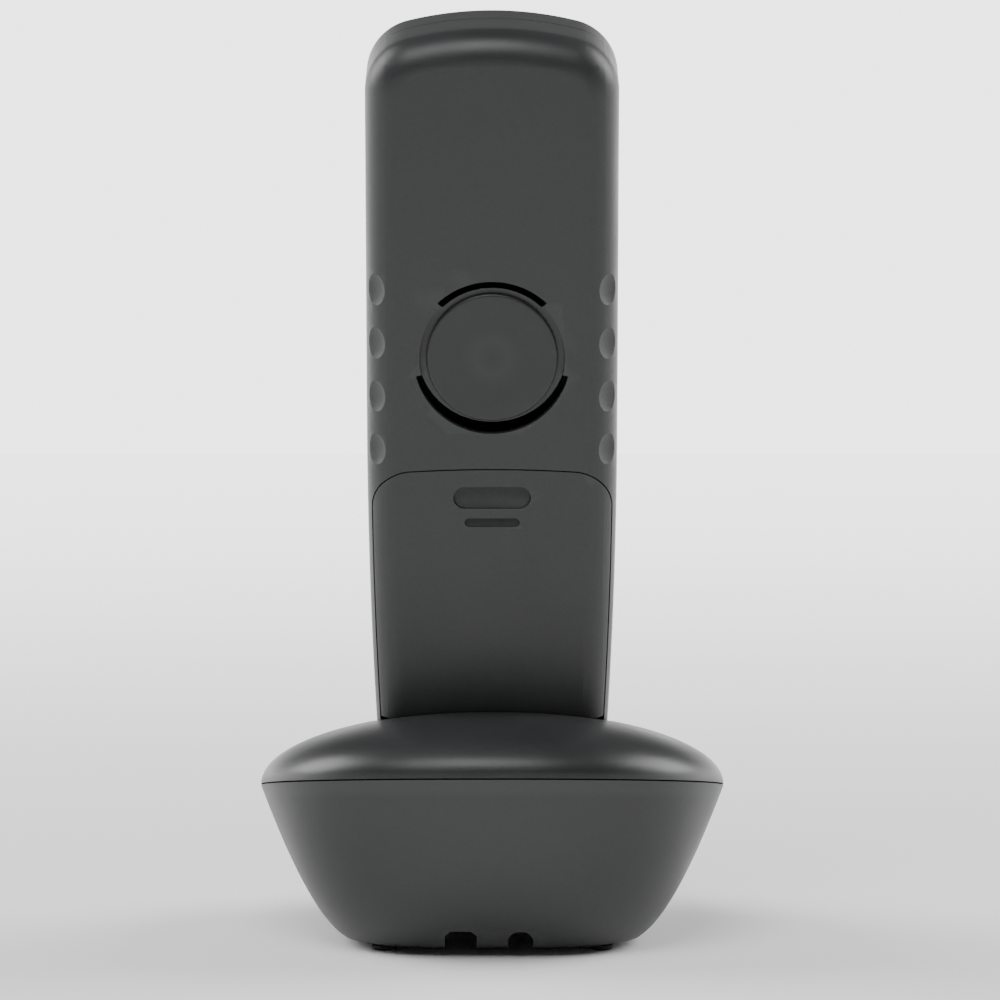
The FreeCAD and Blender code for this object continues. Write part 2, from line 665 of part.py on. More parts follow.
def pebbleOutline(halfWidth, halfDepth, squareness, height, slope):
    """A closed superellipse curve on a plane that rises towards the back."""
    points = []
    for step in range(20):
        angle = 2 * math.pi * step / 20
        across = math.copysign(abs(math.cos(angle)) ** (2 / squareness), math.cos(angle)) * halfWidth
        deep = math.copysign(abs(math.sin(angle)) ** (2 / squareness), math.sin(angle)) * halfDepth
        points.append(Vector(across, deep, height + slope * deep))
    curve = Part.BSplineCurve()
    curve.interpolate(Points=points, PeriodicFlag=True)
    return Part.Wire([curve.toShape()])


def bowlSolid(name, inset, floor, below):
    """The lower half as a loft from the small footprint to the tilted seam, inset evenly by inset."""
    outlines = []
    for share in (0, 0.08, 0.25, 0.5, 0.75, 1):
        growth = share**0.62
        halfWidth = dim("footprintWidth") / 2 + (dim("baseWidth") - dim("footprintWidth")) / 2 * growth
        halfDepth = dim("footprintDepth") / 2 + (dim("baseDepth") - dim("footprintDepth")) / 2 * growth
        height = floor + (dim("seamHeight") - below - floor) * share
        outlines.append(pebbleOutline(halfWidth - inset, halfDepth - inset, 3.2 - 0.8 * share, height,
                                      dim("seamSlope") * share))
    solid = doc.addObject("Part::Feature", name)
    solid.Shape = Part.makeLoft(outlines, True, False)
    return solid


def domeSolid(name, inset, above, proud=0.0):
    """The upper half: a flattened ellipsoid cap standing on the tilted seam."""
    outlines = []
    for share in (1, 0.985, 0.94, 0.84, 0.68, 0.48, 0.25):
        rise = (dim("domeRise") - inset + proud) * math.sqrt(1 - share**2)
        outlines.append(pebbleOutline((dim("baseWidth") / 2 - inset + proud) * share,
                                      (dim("baseDepth") / 2 - inset + proud) * share, 2.4 - 0.2 * (1 - share),
                                      dim("seamHeight") + above + rise, dim("seamSlope")))
    solid = doc.addObject("Part::Feature", name)
    solid.Shape = Part.makeLoft(outlines, True, False)
    return solid


def cradleBlock(name, grow, foot, height):
    """A round-cornered block about the handset's foot, grown evenly by grow, in the handset's frame."""
    halfWidth = "(halfWidth - 1.5 + " + grow + ")"
    block = box(name + "Block", ("2 * " + halfWidth, "backDepth + frontDepth + 2 * " + grow, height),
                ("0 - " + halfWidth, "0 - frontDepth - " + grow, foot))
    doc.recompute()
    uprights = []
    for number, edge in enumerate(block.Shape.Edges, start=1):
        if edge.BoundBox.ZLength > 1:
            radius = dim("backRound") if edge.CenterOfMass.y > 0 else dim("frontRound") + 1
            uprights.append((number, radius, radius))
    rounded = doc.addObject("Part::Fillet", name)
    rounded.Base = block
    rounded.Edges = uprights
    return rounded


def standing(thing):
    """Lean a finished tool back with the handset."""
    thing.Placement = handsetStand
    return thing


def seamBlock(name, spread):
    """A block about the cradle that follows the seam's tilt, from well below the seam to just above it."""
    block = doc.addObject("Part::Box", name)
    block.Placement = Placement(Vector(), Rotation(Vector(1, 0, 0), seamTilt))
    bind(block, Length=f"2 * (30 + {spread})", Width=f"50 + 2 * {spread}", Height=f"26 + 2 * {spread}")
    place(block, f"0 - 30 - {spread}", f"0 - 22.5 - {spread}", f"seamHeight - 24.5 - {spread}")
    return block


def makeUpperHousing():
    whole = fuse("DomeAndBlock", [domeSolid("DomeOuter", 0, dim("seamGap")), seamBlock("Reach", "0")])
    posts = [cylinder("UpperPost", "2.8", "13", (f"{side} * 23.5", y, "16.2"))
             for side in (-1, 1) for y in ("0 - 8", "9")]
    tub = standing(cradleBlock("TubOuter", "(cradleGap + cradleWall)", "0 - 2", "30"))
    hollow = fuse("DomeHollow", [domeSolid("DomeInner", dim("baseWall"), dim("seamGap") - 0.01),
                                 seamBlock("ReachHollow", "1")])
    skin = cut("DomeSkin", whole, cut("OpenHollow", hollow, fuse("TubAndPosts", [tub] + posts)))
    tools = [
        standing(cradleBlock("Cradle", "cradleGap", "0 - 0.3", "40")),
        standing(fuse("ContactSlots", [
            box("ContactSlot", ("3.6", "5.6", "4"), (f"{side} * padPlace - 1.8", "0 - 7.8", "0 - 3"))
            for side in (-1, 1)])),
        cylinder("PagingHole", "pagingRadius + keyGap", "20", ("0", "pagingPlace + 3", "seamHeight - 12"),
                 seamNormal),
    ]
    tools += [cylinder("UpperBore", "1.4", "9", (f"{side} * 23.5", y, "16"))
              for side in (-1, 1) for y in ("0 - 8", "9")]
    subPart(cut("UpperHousing", skin, fuse("UpperHollows", tools)), "base_upper_housing")


def makeLowerHousing():
    outer = bowlSolid("BowlOuter", 0, dim("footHeight"), dim("seamGap"))
    inner = bowlSolid("BowlInner", dim("baseWall"), dim("footHeight") + dim("baseWall"), -dim("seamGap"))
    solids = [box("WellWalls", ("wellWidth + 2 * wellWall", "wellDepth + 2 * wellWall", "wellRoof + wellWall"),
                  ("0 - wellWidth / 2 - wellWall", "wellRear - wellDepth - wellWall", "0"))]
    hollows = [box("Well", ("wellWidth", "wellDepth", "wellRoof + 1"),
                   ("0 - wellWidth / 2", "wellRear - wellDepth", "0 - 1"))]
    for name, width, middle in (("Wide", "wideNotch", "wideNotchPlace"), ("Slim", "slimNotch", "slimNotchPlace")):
        solids.append(box(name + "ChannelWalls", (width + " + 2 * wellWall", "30", "notchHeight + 3"),
                          (f"{middle} - {width} / 2 - wellWall", "wellRear", "0")))
    # the wide notch has bevelled upper corners, the slim one a round head
    hollows.append(makeNotchBar("wideNotch", "wideNotchPlace", bevel=1.2))
    hollows.append(makeNotchBar("slimNotch", "slimNotchPlace", bevel=0.0))
    for side in (-1, 1):
        x = f"{side} * socketSpread - socketWidth / 2"
        hollows.append(box("SocketWindow", ("socketWidth + 0.2", "4", "socketHeight + 0.2"),
                           (x + " - 0.1", "wellRear - wellDepth - 3", "3.3")))
        for y in ("0 - 8", "9"):
            solids.append(cylinder("LowerPost", "3", "15", (f"{side} * 23.5", y, "1")))
            hollows.append(cylinder("LowerBore", "1.6", "20", (f"{side} * 23.5", y, "0")))
            hollows.append(cylinder("ScrewSeat", "2.8", "3.4", (f"{side} * 23.5", y, "0")))
    skin = cut("BowlSkin", outer, cut("OpenInner", inner, fuse("BowlWalls", solids)))
    subPart(cut("LowerHousing", skin, fuse("LowerHollows", hollows)), "base_lower_housing")


def makeNotchBar(width, middle, bevel):
    """The straight bar that one cable notch is cut with."""
    bar = box("NotchBlock", (width, "60", "notchHeight + 1 + footHeight"),
              (f"{middle} - {width} / 2", "wellRear - 2", "0 - 1"))
    doc.recompute()
    top = []
    for number, edge in enumerate(bar.Shape.Edges, start=1):
        if edge.BoundBox.YLength > 1 and edge.BoundBox.ZMin > 1:
            top.append(number)
    if bevel:
        shaped = doc.addObject("Part::Chamfer", "NotchBar")
        shaped.Base = bar
        shaped.Edges = [(number, bevel, bevel) for number in top]
    else:
        shaped = doc.addObject("Part::Fillet", "NotchBar")
        shaped.Base = bar
        radius = dim(width) / 2 - 0.05
        shaped.Edges = [(number, radius, radius) for number in top]
    return shaped


def makeBaseInside():
    board = newBody("BaseBoard")
    sketch = sketchOn(board, "XY_Plane", "BoardSketch", "boardHeight")
    drawRectangle(sketch, "0 - 20", "0 - 22", "40", "46")
    pad(board, sketch, "boardThickness")
    tongue = sketchOn(board, "XY_Plane", "TongueSketch", "boardHeight")
    drawRectangle(tongue, "0 - 8", "0 - 34", "16", "13")
    pad(board, tongue, "boardThickness", name="Tongue")
    subPart(board, "base_circuit_board")

    top = "boardHeight + boardThickness + 0.02"
    can = box("CanOuter", ("22", "18", "3.2"), ("0 - 19", "4", top))
    inner = box("CanInner", ("21.4", "17.4", "2.9"), ("0 - 18.7", "4.3", top))
    subPart(cut("ShieldCan", can, inner), "base_shield_can")

    pieces = [
        box("Inductor", ("7", "7", "4.5"), ("6", "4", top)),
        box("Regulator", ("6", "5", "1.8"), ("6", "14", top)),
        cylinder("SmallCapacitor", "2.5", "6", ("0 - 6", "0 - 14", top)),
        cylinder("LargeCapacitor", "3.1", "7", ("6", "0 - 14", top)),
    ]
    subPart(group("Components", pieces), "base_components")

    for label, side, mouth in (("line_socket", -1, "lineMouth"), ("power_socket", 1, "powerMouth")):
        x = f"{side} * socketSpread"
        face = "wellRear - wellDepth"
        body = box(label + "Body", ("socketWidth", "socketDepth", "socketHeight"),
                   (f"{x} - socketWidth / 2", face + " - socketDepth", "3.4"))
        hollow = box(label + "Mouth", (mouth, "9.5", "6.8"), (f"{x} - {mouth} / 2", face + " - 9", "5.6"))
        latch = box(label + "Latch", ("3.4", "9.5", "1.6"), (f"{x} - 1.7", face + " - 9", "4.2"))
        subPart(cut(label + "Jack", body, fuse(label + "Hollow", [hollow, latch])), label)

    feet = [cylinder("Foot", "2.4", "footHeight", (f"{side} * 22.4", y, "0"))
            for side in (-1, 1) for y in ("0 - 16.5", "16.5")]
    subPart(group("Feet", feet), "base_feet")

    screws = []
    for side in (-1, 1):
        for y in ("0 - 8", "9"):
            head = cylinder("BaseScrewHead", "2.6", "1.8", (f"{side} * 23.5", y, "1.55"))
            shank = cylinder("BaseScrewShank", "1.35", "20", (f"{side} * 23.5", y, "3.3"))
            screws.append(fuse("BaseScrew", [head, shank]))
    subPart(group("BaseScrews", screws), "base_screws")

    # sprung blades that meet the handset's pads through the cradle floor
    blades = []
    for side in (-1, 1):
        x = f"{side} * padPlace"
        stem = box("BladeStem", ("3", "0.8", "10"), (f"{x} - 1.5", "0 - 5.4", "0 - 10.6"))
        tip = cylinder("BladeTip", "1.2", "3", (f"{x} - 1.5", "0 - 5", "0 - 1.25"), Vector(1, 0, 0))
        blades.append(fuse("Blade", [stem, tip]))
    subPart(group("Contacts", blades), "charge_contacts", handsetStand)


def makePaging():
    """The paging key, flush with the dome's front, and the switch on the board under its stem."""
    skin = domeSolid("KeySkin", 0, dim("seamGap"), proud=0.6)
    foot = ("0", "pagingPlace + 3", "seamHeight - 12")
    cap = common("KeyCap", [cylinder("KeyBar", "pagingRadius", "30", foot, seamNormal), skin])
    trimFoot = ("0", "pagingPlace + 1.14", "seamHeight - 1.97")
    core = cylinder("KeyTrim", "pagingRadius + 1", "20", trimFoot, seamNormal)
    flange = cylinder("KeyFlange", "pagingRadius + 0.9", "1", trimFoot, seamNormal)
    stem = cylinder("KeyStem", "1.8", "11", foot, seamNormal)
    subPart(fuse("PagingKey", [common("KeyTop", [cap, core]), flange, stem]), "paging_key")

    top = "boardHeight + boardThickness + 0.02"
    block = box("SwitchBlock", ("6", "6", "1.4"), ("0 - 3", "pagingPlace + 0.4", top))
    plunger = cylinder("SwitchPlunger", "1.6", "1.8", ("0", "pagingPlace + 3.4", top))
    subPart(fuse("PagingSwitch", [block, plunger]), "paging_switch")


# ---------------------------------------------------------------- build, check and write

makeUpperHousing()
makeLowerHousing()
makeBaseInside()
makePaging()
makeHandsetBack()
makeHandsetFront()
doc.recompute()

for thing in doc.Objects:
    if "Invalid" in thing.State or "Error" in thing.State:
        raise RuntimeError(f"{thing.Label} did not build: {thing.State}")
for thing in subParts:
    if thing.Shape.isNull() or not thing.Shape.isValid():
        raise RuntimeError(f"{thing.Label} is not a valid shape")

os.makedirs("parts", exist_ok=True)
for thing in subParts:
    thing.Shape.exportStep(f"parts/{thing.Label}.step")
    solids = len(thing.Shape.Solids)
    print(f"{thing.Label}: {solids} solid(s), {thing.Shape.Volume:.0f} cubic mm")
print(f"{len(subParts)} sub-parts written")
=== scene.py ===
import json
import math

import bmesh
import bpy
from mathutils import Matrix, Vector


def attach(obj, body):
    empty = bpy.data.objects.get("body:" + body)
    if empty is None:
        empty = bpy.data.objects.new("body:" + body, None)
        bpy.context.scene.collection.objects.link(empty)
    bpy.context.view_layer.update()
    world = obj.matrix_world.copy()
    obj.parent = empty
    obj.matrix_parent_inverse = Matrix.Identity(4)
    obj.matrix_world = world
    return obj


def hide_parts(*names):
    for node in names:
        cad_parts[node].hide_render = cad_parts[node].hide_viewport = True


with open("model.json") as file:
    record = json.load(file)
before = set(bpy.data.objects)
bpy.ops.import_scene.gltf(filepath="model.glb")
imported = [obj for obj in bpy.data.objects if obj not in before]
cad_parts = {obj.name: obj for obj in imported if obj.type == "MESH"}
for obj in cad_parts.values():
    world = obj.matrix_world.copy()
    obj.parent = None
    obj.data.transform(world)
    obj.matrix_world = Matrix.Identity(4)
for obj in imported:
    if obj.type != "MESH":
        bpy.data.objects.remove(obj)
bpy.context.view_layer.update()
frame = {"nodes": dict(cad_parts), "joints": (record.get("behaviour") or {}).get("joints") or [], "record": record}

mm = 0.001
nodes = frame["nodes"]
print("frame loaded:", len(nodes), "CAD nodes")

# the handset's own frame: foot middle on the parting line, leaning back with the lift joint
liftAxis = next(Vector(j["axis"]) for j in frame["joints"] if j["name"] == "handset_lift")
handset = dict(
    footBack=-6.0, footHeight=30.5, length=163.0, half=25.5, topArc=71.0, topCorner=11.0,
    taperStart=80.0, taperArc=1160.0, footCorner=9.0, backDepth=16.0, frontDepth=12.0,
    backRound=6.5, frontRound=4.0, wall=1.8, partingBevel=0.28,
)
lean = math.atan2(liftAxis.y, liftAxis.z)
handsetStand = (Matrix.Translation(Vector((0, handset["footBack"], handset["footHeight"])) * mm)
                @ Matrix.Rotation(-lean, 4, "X") @ Matrix.Scale(mm, 4))
baseStand = Matrix.Scale(mm, 4)


def newPiece(name, bm, stand=baseStand):
    # meshes are drawn in millimetres and put in place by their stand
    mesh = bpy.data.meshes.new(name)
    bm.to_mesh(mesh)
    bm.free()
    mesh.transform(stand)
    piece = bpy.data.objects.new(name, mesh)
    bpy.context.scene.collection.objects.link(piece)
    return piece


def evaluatedMesh(piece):
    graph = bpy.context.evaluated_depsgraph_get()
    return bpy.data.meshes.new_from_object(piece.evaluated_get(graph), preserve_all_data_layers=True,
                                           depsgraph=graph)


def bakeModifiers(piece):
    # the evaluated result becomes the plain mesh
    baked = evaluatedMesh(piece)
    piece.modifiers.clear()
    old = piece.data
    piece.data = baked
    bpy.data.meshes.remove(old)
    piece.data.name = piece.name
    return piece


def cutAway(piece, cutters, operation="DIFFERENCE"):
    # the cutters are used up
    for cutter in cutters:
        step = piece.modifiers.new("cut", "BOOLEAN")
        step.operation = operation
        step.solver = "EXACT"
        step.object = cutter
        bakeModifiers(piece)
        bpy.data.objects.remove(cutter)
    return piece


def softenEdges(piece, width, angle=38.0, segments=2):
    # real mouldings have no knife edges, so each sharp edge gets a small radius
    if width:
        bevel = piece.modifiers.new("bevel", "BEVEL")
        bevel.width = width * mm
        bevel.segments = segments
        bevel.limit_method = "ANGLE"
        bevel.angle_limit = math.radians(angle)
        bevel.miter_outer = "MITER_ARC"
        bevel.use_clamp_overlap = True
        bevel.face_strength_mode = "FSTR_ALL"
        bakeModifiers(piece)
    piece.data.shade_smooth()
    piece.data.set_sharp_from_angle(angle=math.radians(angle))
    weighted = piece.modifiers.new("normals", "WEIGHTED_NORMAL")
    weighted.keep_sharp = True
    weighted.use_face_influence = bool(width)
    weighted.weight = 60
    bakeModifiers(piece)
    return piece


def ringsToMesh(rings, loop=False):
    # rings of equal count are joined by quads: the ends are capped, or a loop joins last to first
    bm = bmesh.new()
    rows = [[bm.verts.new(point) for point in ring] for ring in rings]
    count = len(rows[0])
    pairs = list(zip(rows, rows[1:]))
    if loop:
        pairs.append((rows[-1], rows[0]))
    for lower, upper in pairs:
        for i in range(count):
            k = (i + 1) % count
            bm.faces.new((lower[i], lower[k], upper[k], upper[i]))
    if not loop:
        bm.faces.new(list(reversed(rows[0])))
        bm.faces.new(rows[-1])
    bmesh.ops.recalc_face_normals(bm, faces=bm.faces)
    return bm


def prism(name, outline, low, high, stand, axis="y"):
    # an outline is drawn out along y from (across, up) points, or along z from (across, deep) points
    def at(point, depth):
        if axis == "y":
            return (point[0], depth, point[1])
        return (point[0], point[1], depth)
    rings = [[at(point, depth) for point in outline] for depth in (low, high)]
    return newPiece(name, ringsToMesh(rings), stand)


def circlePoints(x, y, radius, count=64, start=0.0, sweep=360.0):
    closed = abs(sweep) >= 360
    steps = count if closed else count + 1
    return [(x + radius * math.cos(math.radians(start + sweep * k / count)),
             y + radius * math.sin(math.radians(start + sweep * k / count))) for k in range(steps)]


def roundedRectangle(left, foot, width, height, radius, steps=6):
    points = []
    corners = [(left + width - radius, foot + radius, -90), (left + width - radius, foot + height - radius, 0),
               (left + radius, foot + height - radius, 90), (left + radius, foot + radius, 180)]
    for x, y, start in corners:
        points += circlePoints(x, y, radius, steps, start, 90)
    return points


def turnedRings(profile, count):
    # (radius, height) points turned about z
    return [[(radius * math.cos(2 * math.pi * k / count), radius * math.sin(2 * math.pi * k / count), height)
             for k in range(count)] for radius, height in profile]


def lathe(name, profile, stand, count=48):
    return newPiece(name, ringsToMesh(turnedRings(profile, count)), stand)


pole = 0.001  # a turned profile starts and ends this close to its axis


def rod(radius, low, high):
    # the profile of a plain round bar
    return [(pole, low), (radius, low), (radius, high), (pole, high)]


def faceBack(x, depth, up):
    # a stand whose z axis points out of the handset's back
    return handsetStand @ Matrix.Translation((x, depth, up)) @ Matrix.Rotation(-math.pi / 2, 4, "X")


def faceFront(x, depth, up):
    # a stand whose z axis points out of the keypad side
    return handsetStand @ Matrix.Translation((x, depth, up)) @ Matrix.Rotation(math.pi / 2, 4, "X")


def handsetOutline(inset=0.0):
    # shallow top arch, round shoulders, straight sides, a long taper and small foot corners
    h = handset
    arch = Vector((0, h["length"] - h["topArc"]))
    reach = h["topArc"] - h["topCorner"]
    shoulderX = h["half"] - h["topCorner"]
    shoulder = Vector((shoulderX, arch.y + math.sqrt(reach ** 2 - shoulderX ** 2)))
    taper = Vector((h["half"] - h["taperArc"], h["taperStart"]))
    footReach = h["taperArc"] - h["footCorner"]
    foot = Vector((taper.x + math.sqrt(footReach ** 2 - (taper.y - h["footCorner"]) ** 2), h["footCorner"]))
    archEnd = math.atan2(shoulder.y - arch.y, shoulder.x - arch.x)
    taperEnd = math.atan2(foot.y - taper.y, foot.x - taper.x)
    # centre, radius, start angle, end angle and steps, with a straight run where there is no centre
    spans = [(arch, h["topArc"], math.pi / 2, archEnd, 12), (shoulder, h["topCorner"], archEnd, 0.0, 16),
             (None, None, None, None, 18), (taper, h["taperArc"], 0.0, taperEnd, 20),
             (foot, h["footCorner"], taperEnd, -math.pi / 2, 12)]
    right = []
    for centre, radius, start, end, steps in spans:
        for k in range(steps):
            share = k / steps
            if centre is None:
                right.append((h["half"] - inset, shoulder.y + (taper.y - shoulder.y) * share))
                continue
            angle = start + (end - start) * share
            right.append((centre.x + (radius - inset) * math.cos(angle),
                          centre.y + (radius - inset) * math.sin(angle)))
    right.append((foot.x, inset))
    left = [(-x, z) for x, z in reversed(right[1:])]
    return right + left


def halfAt(height):
    # the handset's half width at one height on its long taper
    return handset["half"] - max(0.0, handset["taperStart"] - height) ** 2 / (2 * handset["taperArc"])


def housingShell(name, depth, roundness, wall, side):
    # side is 1 for the back half and -1 for the front half
    def ring(inset, y):
        return [(x, side * y, z) for x, z in handsetOutline(inset)]
    bevel = handset["partingBevel"]
    steps = 12
    outer = [ring(bevel, 0), ring(bevel * 0.3, bevel * 0.3), ring(0, bevel)]
    outer += [ring(0, (depth - roundness) * share) for share in (0.25, 0.5, 0.75)]
    for k in range(steps + 1):
        turn = math.pi / 2 * k / steps
        outer.append(ring(roundness * (1 - math.cos(turn)), depth - roundness * (1 - math.sin(turn))))
    inner = []
    for k in range(steps + 1):
        turn = math.pi / 2 * (1 - k / steps)
        inner.append(ring(wall + (roundness - wall) * (1 - math.cos(turn)),
                          depth - roundness + (roundness - wall) * math.sin(turn)))
    inner.append(ring(wall, 0))
    bm = ringsToMesh(list(reversed(outer)) + list(reversed(inner)))
    return newPiece(name, bm, handsetStand)


cells = dict(pitch=4.0, offset=0.37, width=54.0)


def cutInCells(piece):
    # flat faces become small cells, so that shading stays true beside every opening
    bm = bmesh.new()
    bm.from_mesh(piece.data)
    side = handsetStand @ Vector((-cells["width"] / 2, 0, 0))
    foot = handsetStand @ Vector((0, 0, 0))
    upward = handsetStand.to_3x3().col[2].normalized()
    for start, axis, span in ((side, Vector((1, 0, 0)), cells["width"]), (foot, upward, handset["length"])):
        for k in range(1, int(span / cells["pitch"])):
            plane = start + axis * (k * cells["pitch"] + cells["offset"]) * mm
            bmesh.ops.bisect_plane(bm, geom=bm.verts[:] + bm.edges[:] + bm.faces[:], dist=1e-7,
                                   plane_co=plane, plane_no=axis)
    bm.to_mesh(piece.data)
    bm.free()


# materials: colours are sRGB hex, turned to linear once here
def linearColour(hexCode):
    channels = [int(hexCode[k:k + 2], 16) / 255 for k in (1, 3, 5)]
    return [c / 12.92 if c <= 0.04045 else ((c + 0.055) / 1.055) ** 2.4 for c in channels] + [1.0]


def addNode(tree, kind, settings=None, links=None):
    # settings are attributes or unlinked inputs, links are input name to output socket
    node = tree.nodes.new(kind)
    for key, value in (settings or {}).items():
        if isinstance(key, str) and hasattr(node, key) and key not in node.inputs:
            setattr(node, key, value)
        else:
            node.inputs[key].default_value = value
    for key, socket in (links or {}).items():
        tree.links.new(socket, node.inputs[key])
    return node


def startMaterial(name):
    material = bpy.data.materials.new(name)
    material.use_nodes = True
    tree = material.node_tree
    tree.nodes.clear()
    place = addNode(tree, "ShaderNodeTexCoord")
    return material, tree, place.outputs["Object"]


def endMaterial(tree, shader):
    addNode(tree, "ShaderNodeOutputMaterial", links={"Surface": shader.outputs["BSDF"]})


# ABS, injection moulded in a spark-eroded mould: a fine even grain that scatters highlights into soft sheens
def mouldedAbs(name, colour, pale, roughness=0.42, grain=0.45, depth=0.045, wear=0.35):
    material, tree, place = startMaterial(name)
    grit = addNode(tree, "ShaderNodeTexNoise", {"Scale": 1 / (grain * mm), "Detail": 3.0, "Roughness": 0.6},
                   {"Vector": place})
    cloud = addNode(tree, "ShaderNodeTexNoise", {"Scale": 1 / (22 * mm), "Detail": 2.0}, {"Vector": place})
    flow = addNode(tree, "ShaderNodeMapRange", {"From Min": 0.3, "From Max": 0.7, "To Min": 0.0, "To Max": 0.16},
                   {"Value": cloud.outputs["Fac"]})
    speck = addNode(tree, "ShaderNodeMapRange", {"From Min": 0.35, "From Max": 0.75, "To Min": 0.0,
                                                 "To Max": 0.2}, {"Value": grit.outputs["Fac"]})
    shape = addNode(tree, "ShaderNodeNewGeometry")
    edge = addNode(tree, "ShaderNodeMapRange", {"From Min": 0.52, "From Max": 0.6, "To Min": 0.0, "To Max": wear},
                   {"Value": shape.outputs["Pointiness"]})
    total = addNode(tree, "ShaderNodeMath", {"operation": "ADD"},
                    {0: flow.outputs["Result"], 1: speck.outputs["Result"]})
    total = addNode(tree, "ShaderNodeMath", {"operation": "ADD", "use_clamp": True},
                    {0: total.outputs["Value"], 1: edge.outputs["Result"]})
    tint = addNode(tree, "ShaderNodeMix", {"data_type": "RGBA", 6: linearColour(colour), 7: linearColour(pale)},
                   {0: total.outputs["Value"]})
    gloss = addNode(tree, "ShaderNodeMapRange", {"From Min": 0.3, "From Max": 0.7, "To Min": roughness - 0.04,
                                                 "To Max": roughness + 0.05}, {"Value": cloud.outputs["Fac"]})
    bump = addNode(tree, "ShaderNodeBump", {"Strength": 0.5, "Distance": depth * mm},
                   {"Height": grit.outputs["Fac"]})
    shader = addNode(tree, "ShaderNodeBsdfPrincipled", {"IOR": 1.53},
                     {"Base Color": tint.outputs[2], "Roughness": gloss.outputs["Result"],
                      "Normal": bump.outputs["Normal"]})
    endMaterial(tree, shader)
    return material


# silicone or soft elastomer, compression moulded: matt, with a faint dusting
def mattElastomer(name, colour, pale, roughness=0.75, grain=0.9):
    material, tree, place = startMaterial(name)
    dust = addNode(tree, "ShaderNodeTexNoise", {"Scale": 1 / (grain * mm), "Detail": 4.0}, {"Vector": place})
    share = addNode(tree, "ShaderNodeMapRange", {"From Min": 0.4, "From Max": 0.8, "To Min": 0.0, "To Max": 0.5},
                    {"Value": dust.outputs["Fac"]})
    tint = addNode(tree, "ShaderNodeMix", {"data_type": "RGBA", 6: linearColour(colour), 7: linearColour(pale)},
                   {0: share.outputs["Result"]})
    bump = addNode(tree, "ShaderNodeBump", {"Strength": 0.35, "Distance": 0.06 * mm},
                   {"Height": dust.outputs["Fac"]})
    shader = addNode(tree, "ShaderNodeBsdfPrincipled", {"IOR": 1.43, "Roughness": roughness},
                     {"Base Color": tint.outputs[2], "Normal": bump.outputs["Normal"]})
    endMaterial(tree, shader)
    return material


# nickel-plated steel or gold-flashed brass, rolled: fine lines along the strip
def platedMetal(name, colour, dull, roughness=0.28, along=(1.0, 14.0, 1.0)):
    material, tree, place = startMaterial(name)
    turned = addNode(tree, "ShaderNodeMapping", {"Scale": along}, {"Vector": place})
    lines = addNode(tree, "ShaderNodeTexNoise", {"Scale": 1 / (1.2 * mm), "Detail": 3.0},
                    {"Vector": turned.outputs["Vector"]})
    tint = addNode(tree, "ShaderNodeMix", {"data_type": "RGBA", 6: linearColour(colour), 7: linearColour(dull)},
                   {0: lines.outputs["Fac"]})
    gloss = addNode(tree, "ShaderNodeMapRange", {"To Min": roughness - 0.08, "To Max": roughness + 0.12},
                    {"Value": lines.outputs["Fac"]})
    shader = addNode(tree, "ShaderNodeBsdfPrincipled", {"Metallic": 1.0},
                     {"Base Color": tint.outputs[2], "Roughness": gloss.outputs["Result"]})
    endMaterial(tree, shader)
    return material


# glass-epoxy board under solder mask: woven glass shows through as a faint grid, copper tracks as darker bands
def solderMask(name, colour, pale):
    material, tree, place = startMaterial(name)
    weave = addNode(tree, "ShaderNodeTexChecker", {"Scale": 1 / (0.9 * mm)}, {"Vector": place})
    tracks = addNode(tree, "ShaderNodeTexVoronoi", {"Scale": 1 / (5 * mm), "feature": "DISTANCE_TO_EDGE"},
                     {"Vector": place})
    band = addNode(tree, "ShaderNodeMapRange", {"From Min": 0.04, "From Max": 0.06, "To Min": 0.9, "To Max": 0.1},
                   {"Value": tracks.outputs["Distance"]})
    mixing = addNode(tree, "ShaderNodeMath", {"operation": "MULTIPLY_ADD", 1: 0.12},
                     {0: weave.outputs["Fac"], 2: band.outputs["Result"]})
    tint = addNode(tree, "ShaderNodeMix", {"data_type": "RGBA", 6: linearColour(colour), 7: linearColour(pale)},
                   {0: mixing.outputs["Value"]})
    bump = addNode(tree, "ShaderNodeBump", {"Strength": 0.3, "Distance": 0.05 * mm},
                   {"Height": band.outputs["Result"]})
    shader = addNode(tree, "ShaderNodeBsdfPrincipled", {"IOR": 1.55, "Roughness": 0.3},
                     {"Base Color": tint.outputs[2], "Normal": bump.outputs["Normal"]})
    endMaterial(tree, shader)
    return material


# cast acrylic window, hard coated: clear and sharp, with a trace of handling haze
def clearAcrylic(name):
    material, tree, place = startMaterial(name)
    haze = addNode(tree, "ShaderNodeTexNoise", {"Scale": 1 / (14 * mm), "Detail": 3.0}, {"Vector": place})
    gloss = addNode(tree, "ShaderNodeMapRange", {"To Min": 0.02, "To Max": 0.09}, {"Value": haze.outputs["Fac"]})
    shader = addNode(tree, "ShaderNodeBsdfPrincipled",
                     {"IOR": 1.49, "Transmission Weight": 1.0, "Base Color": linearColour("#E8ECEE")},
                     {"Roughness": gloss.outputs["Result"]})
    endMaterial(tree, shader)
    return material


# liquid-crystal glass at rest: a grey-green field with a fine grid of cells
def liquidCrystal(name):
    material, tree, place = startMaterial(name)
    grid = addNode(tree, "ShaderNodeTexBrick", {"Scale": 1 / (3.2 * mm), "Mortar Size": 0.03, "offset": 0.0,
                                                "Color1": linearColour("#252B2C"), "Color2": linearColour("#293031"),
                                                "Mortar": linearColour("#1C2021")}, {"Vector": place})
    shader = addNode(tree, "ShaderNodeBsdfPrincipled", {"IOR": 1.5, "Roughness": 0.2},
                     {"Base Color": grid.outputs["Color"]})
    endMaterial(tree, shader)
    return material


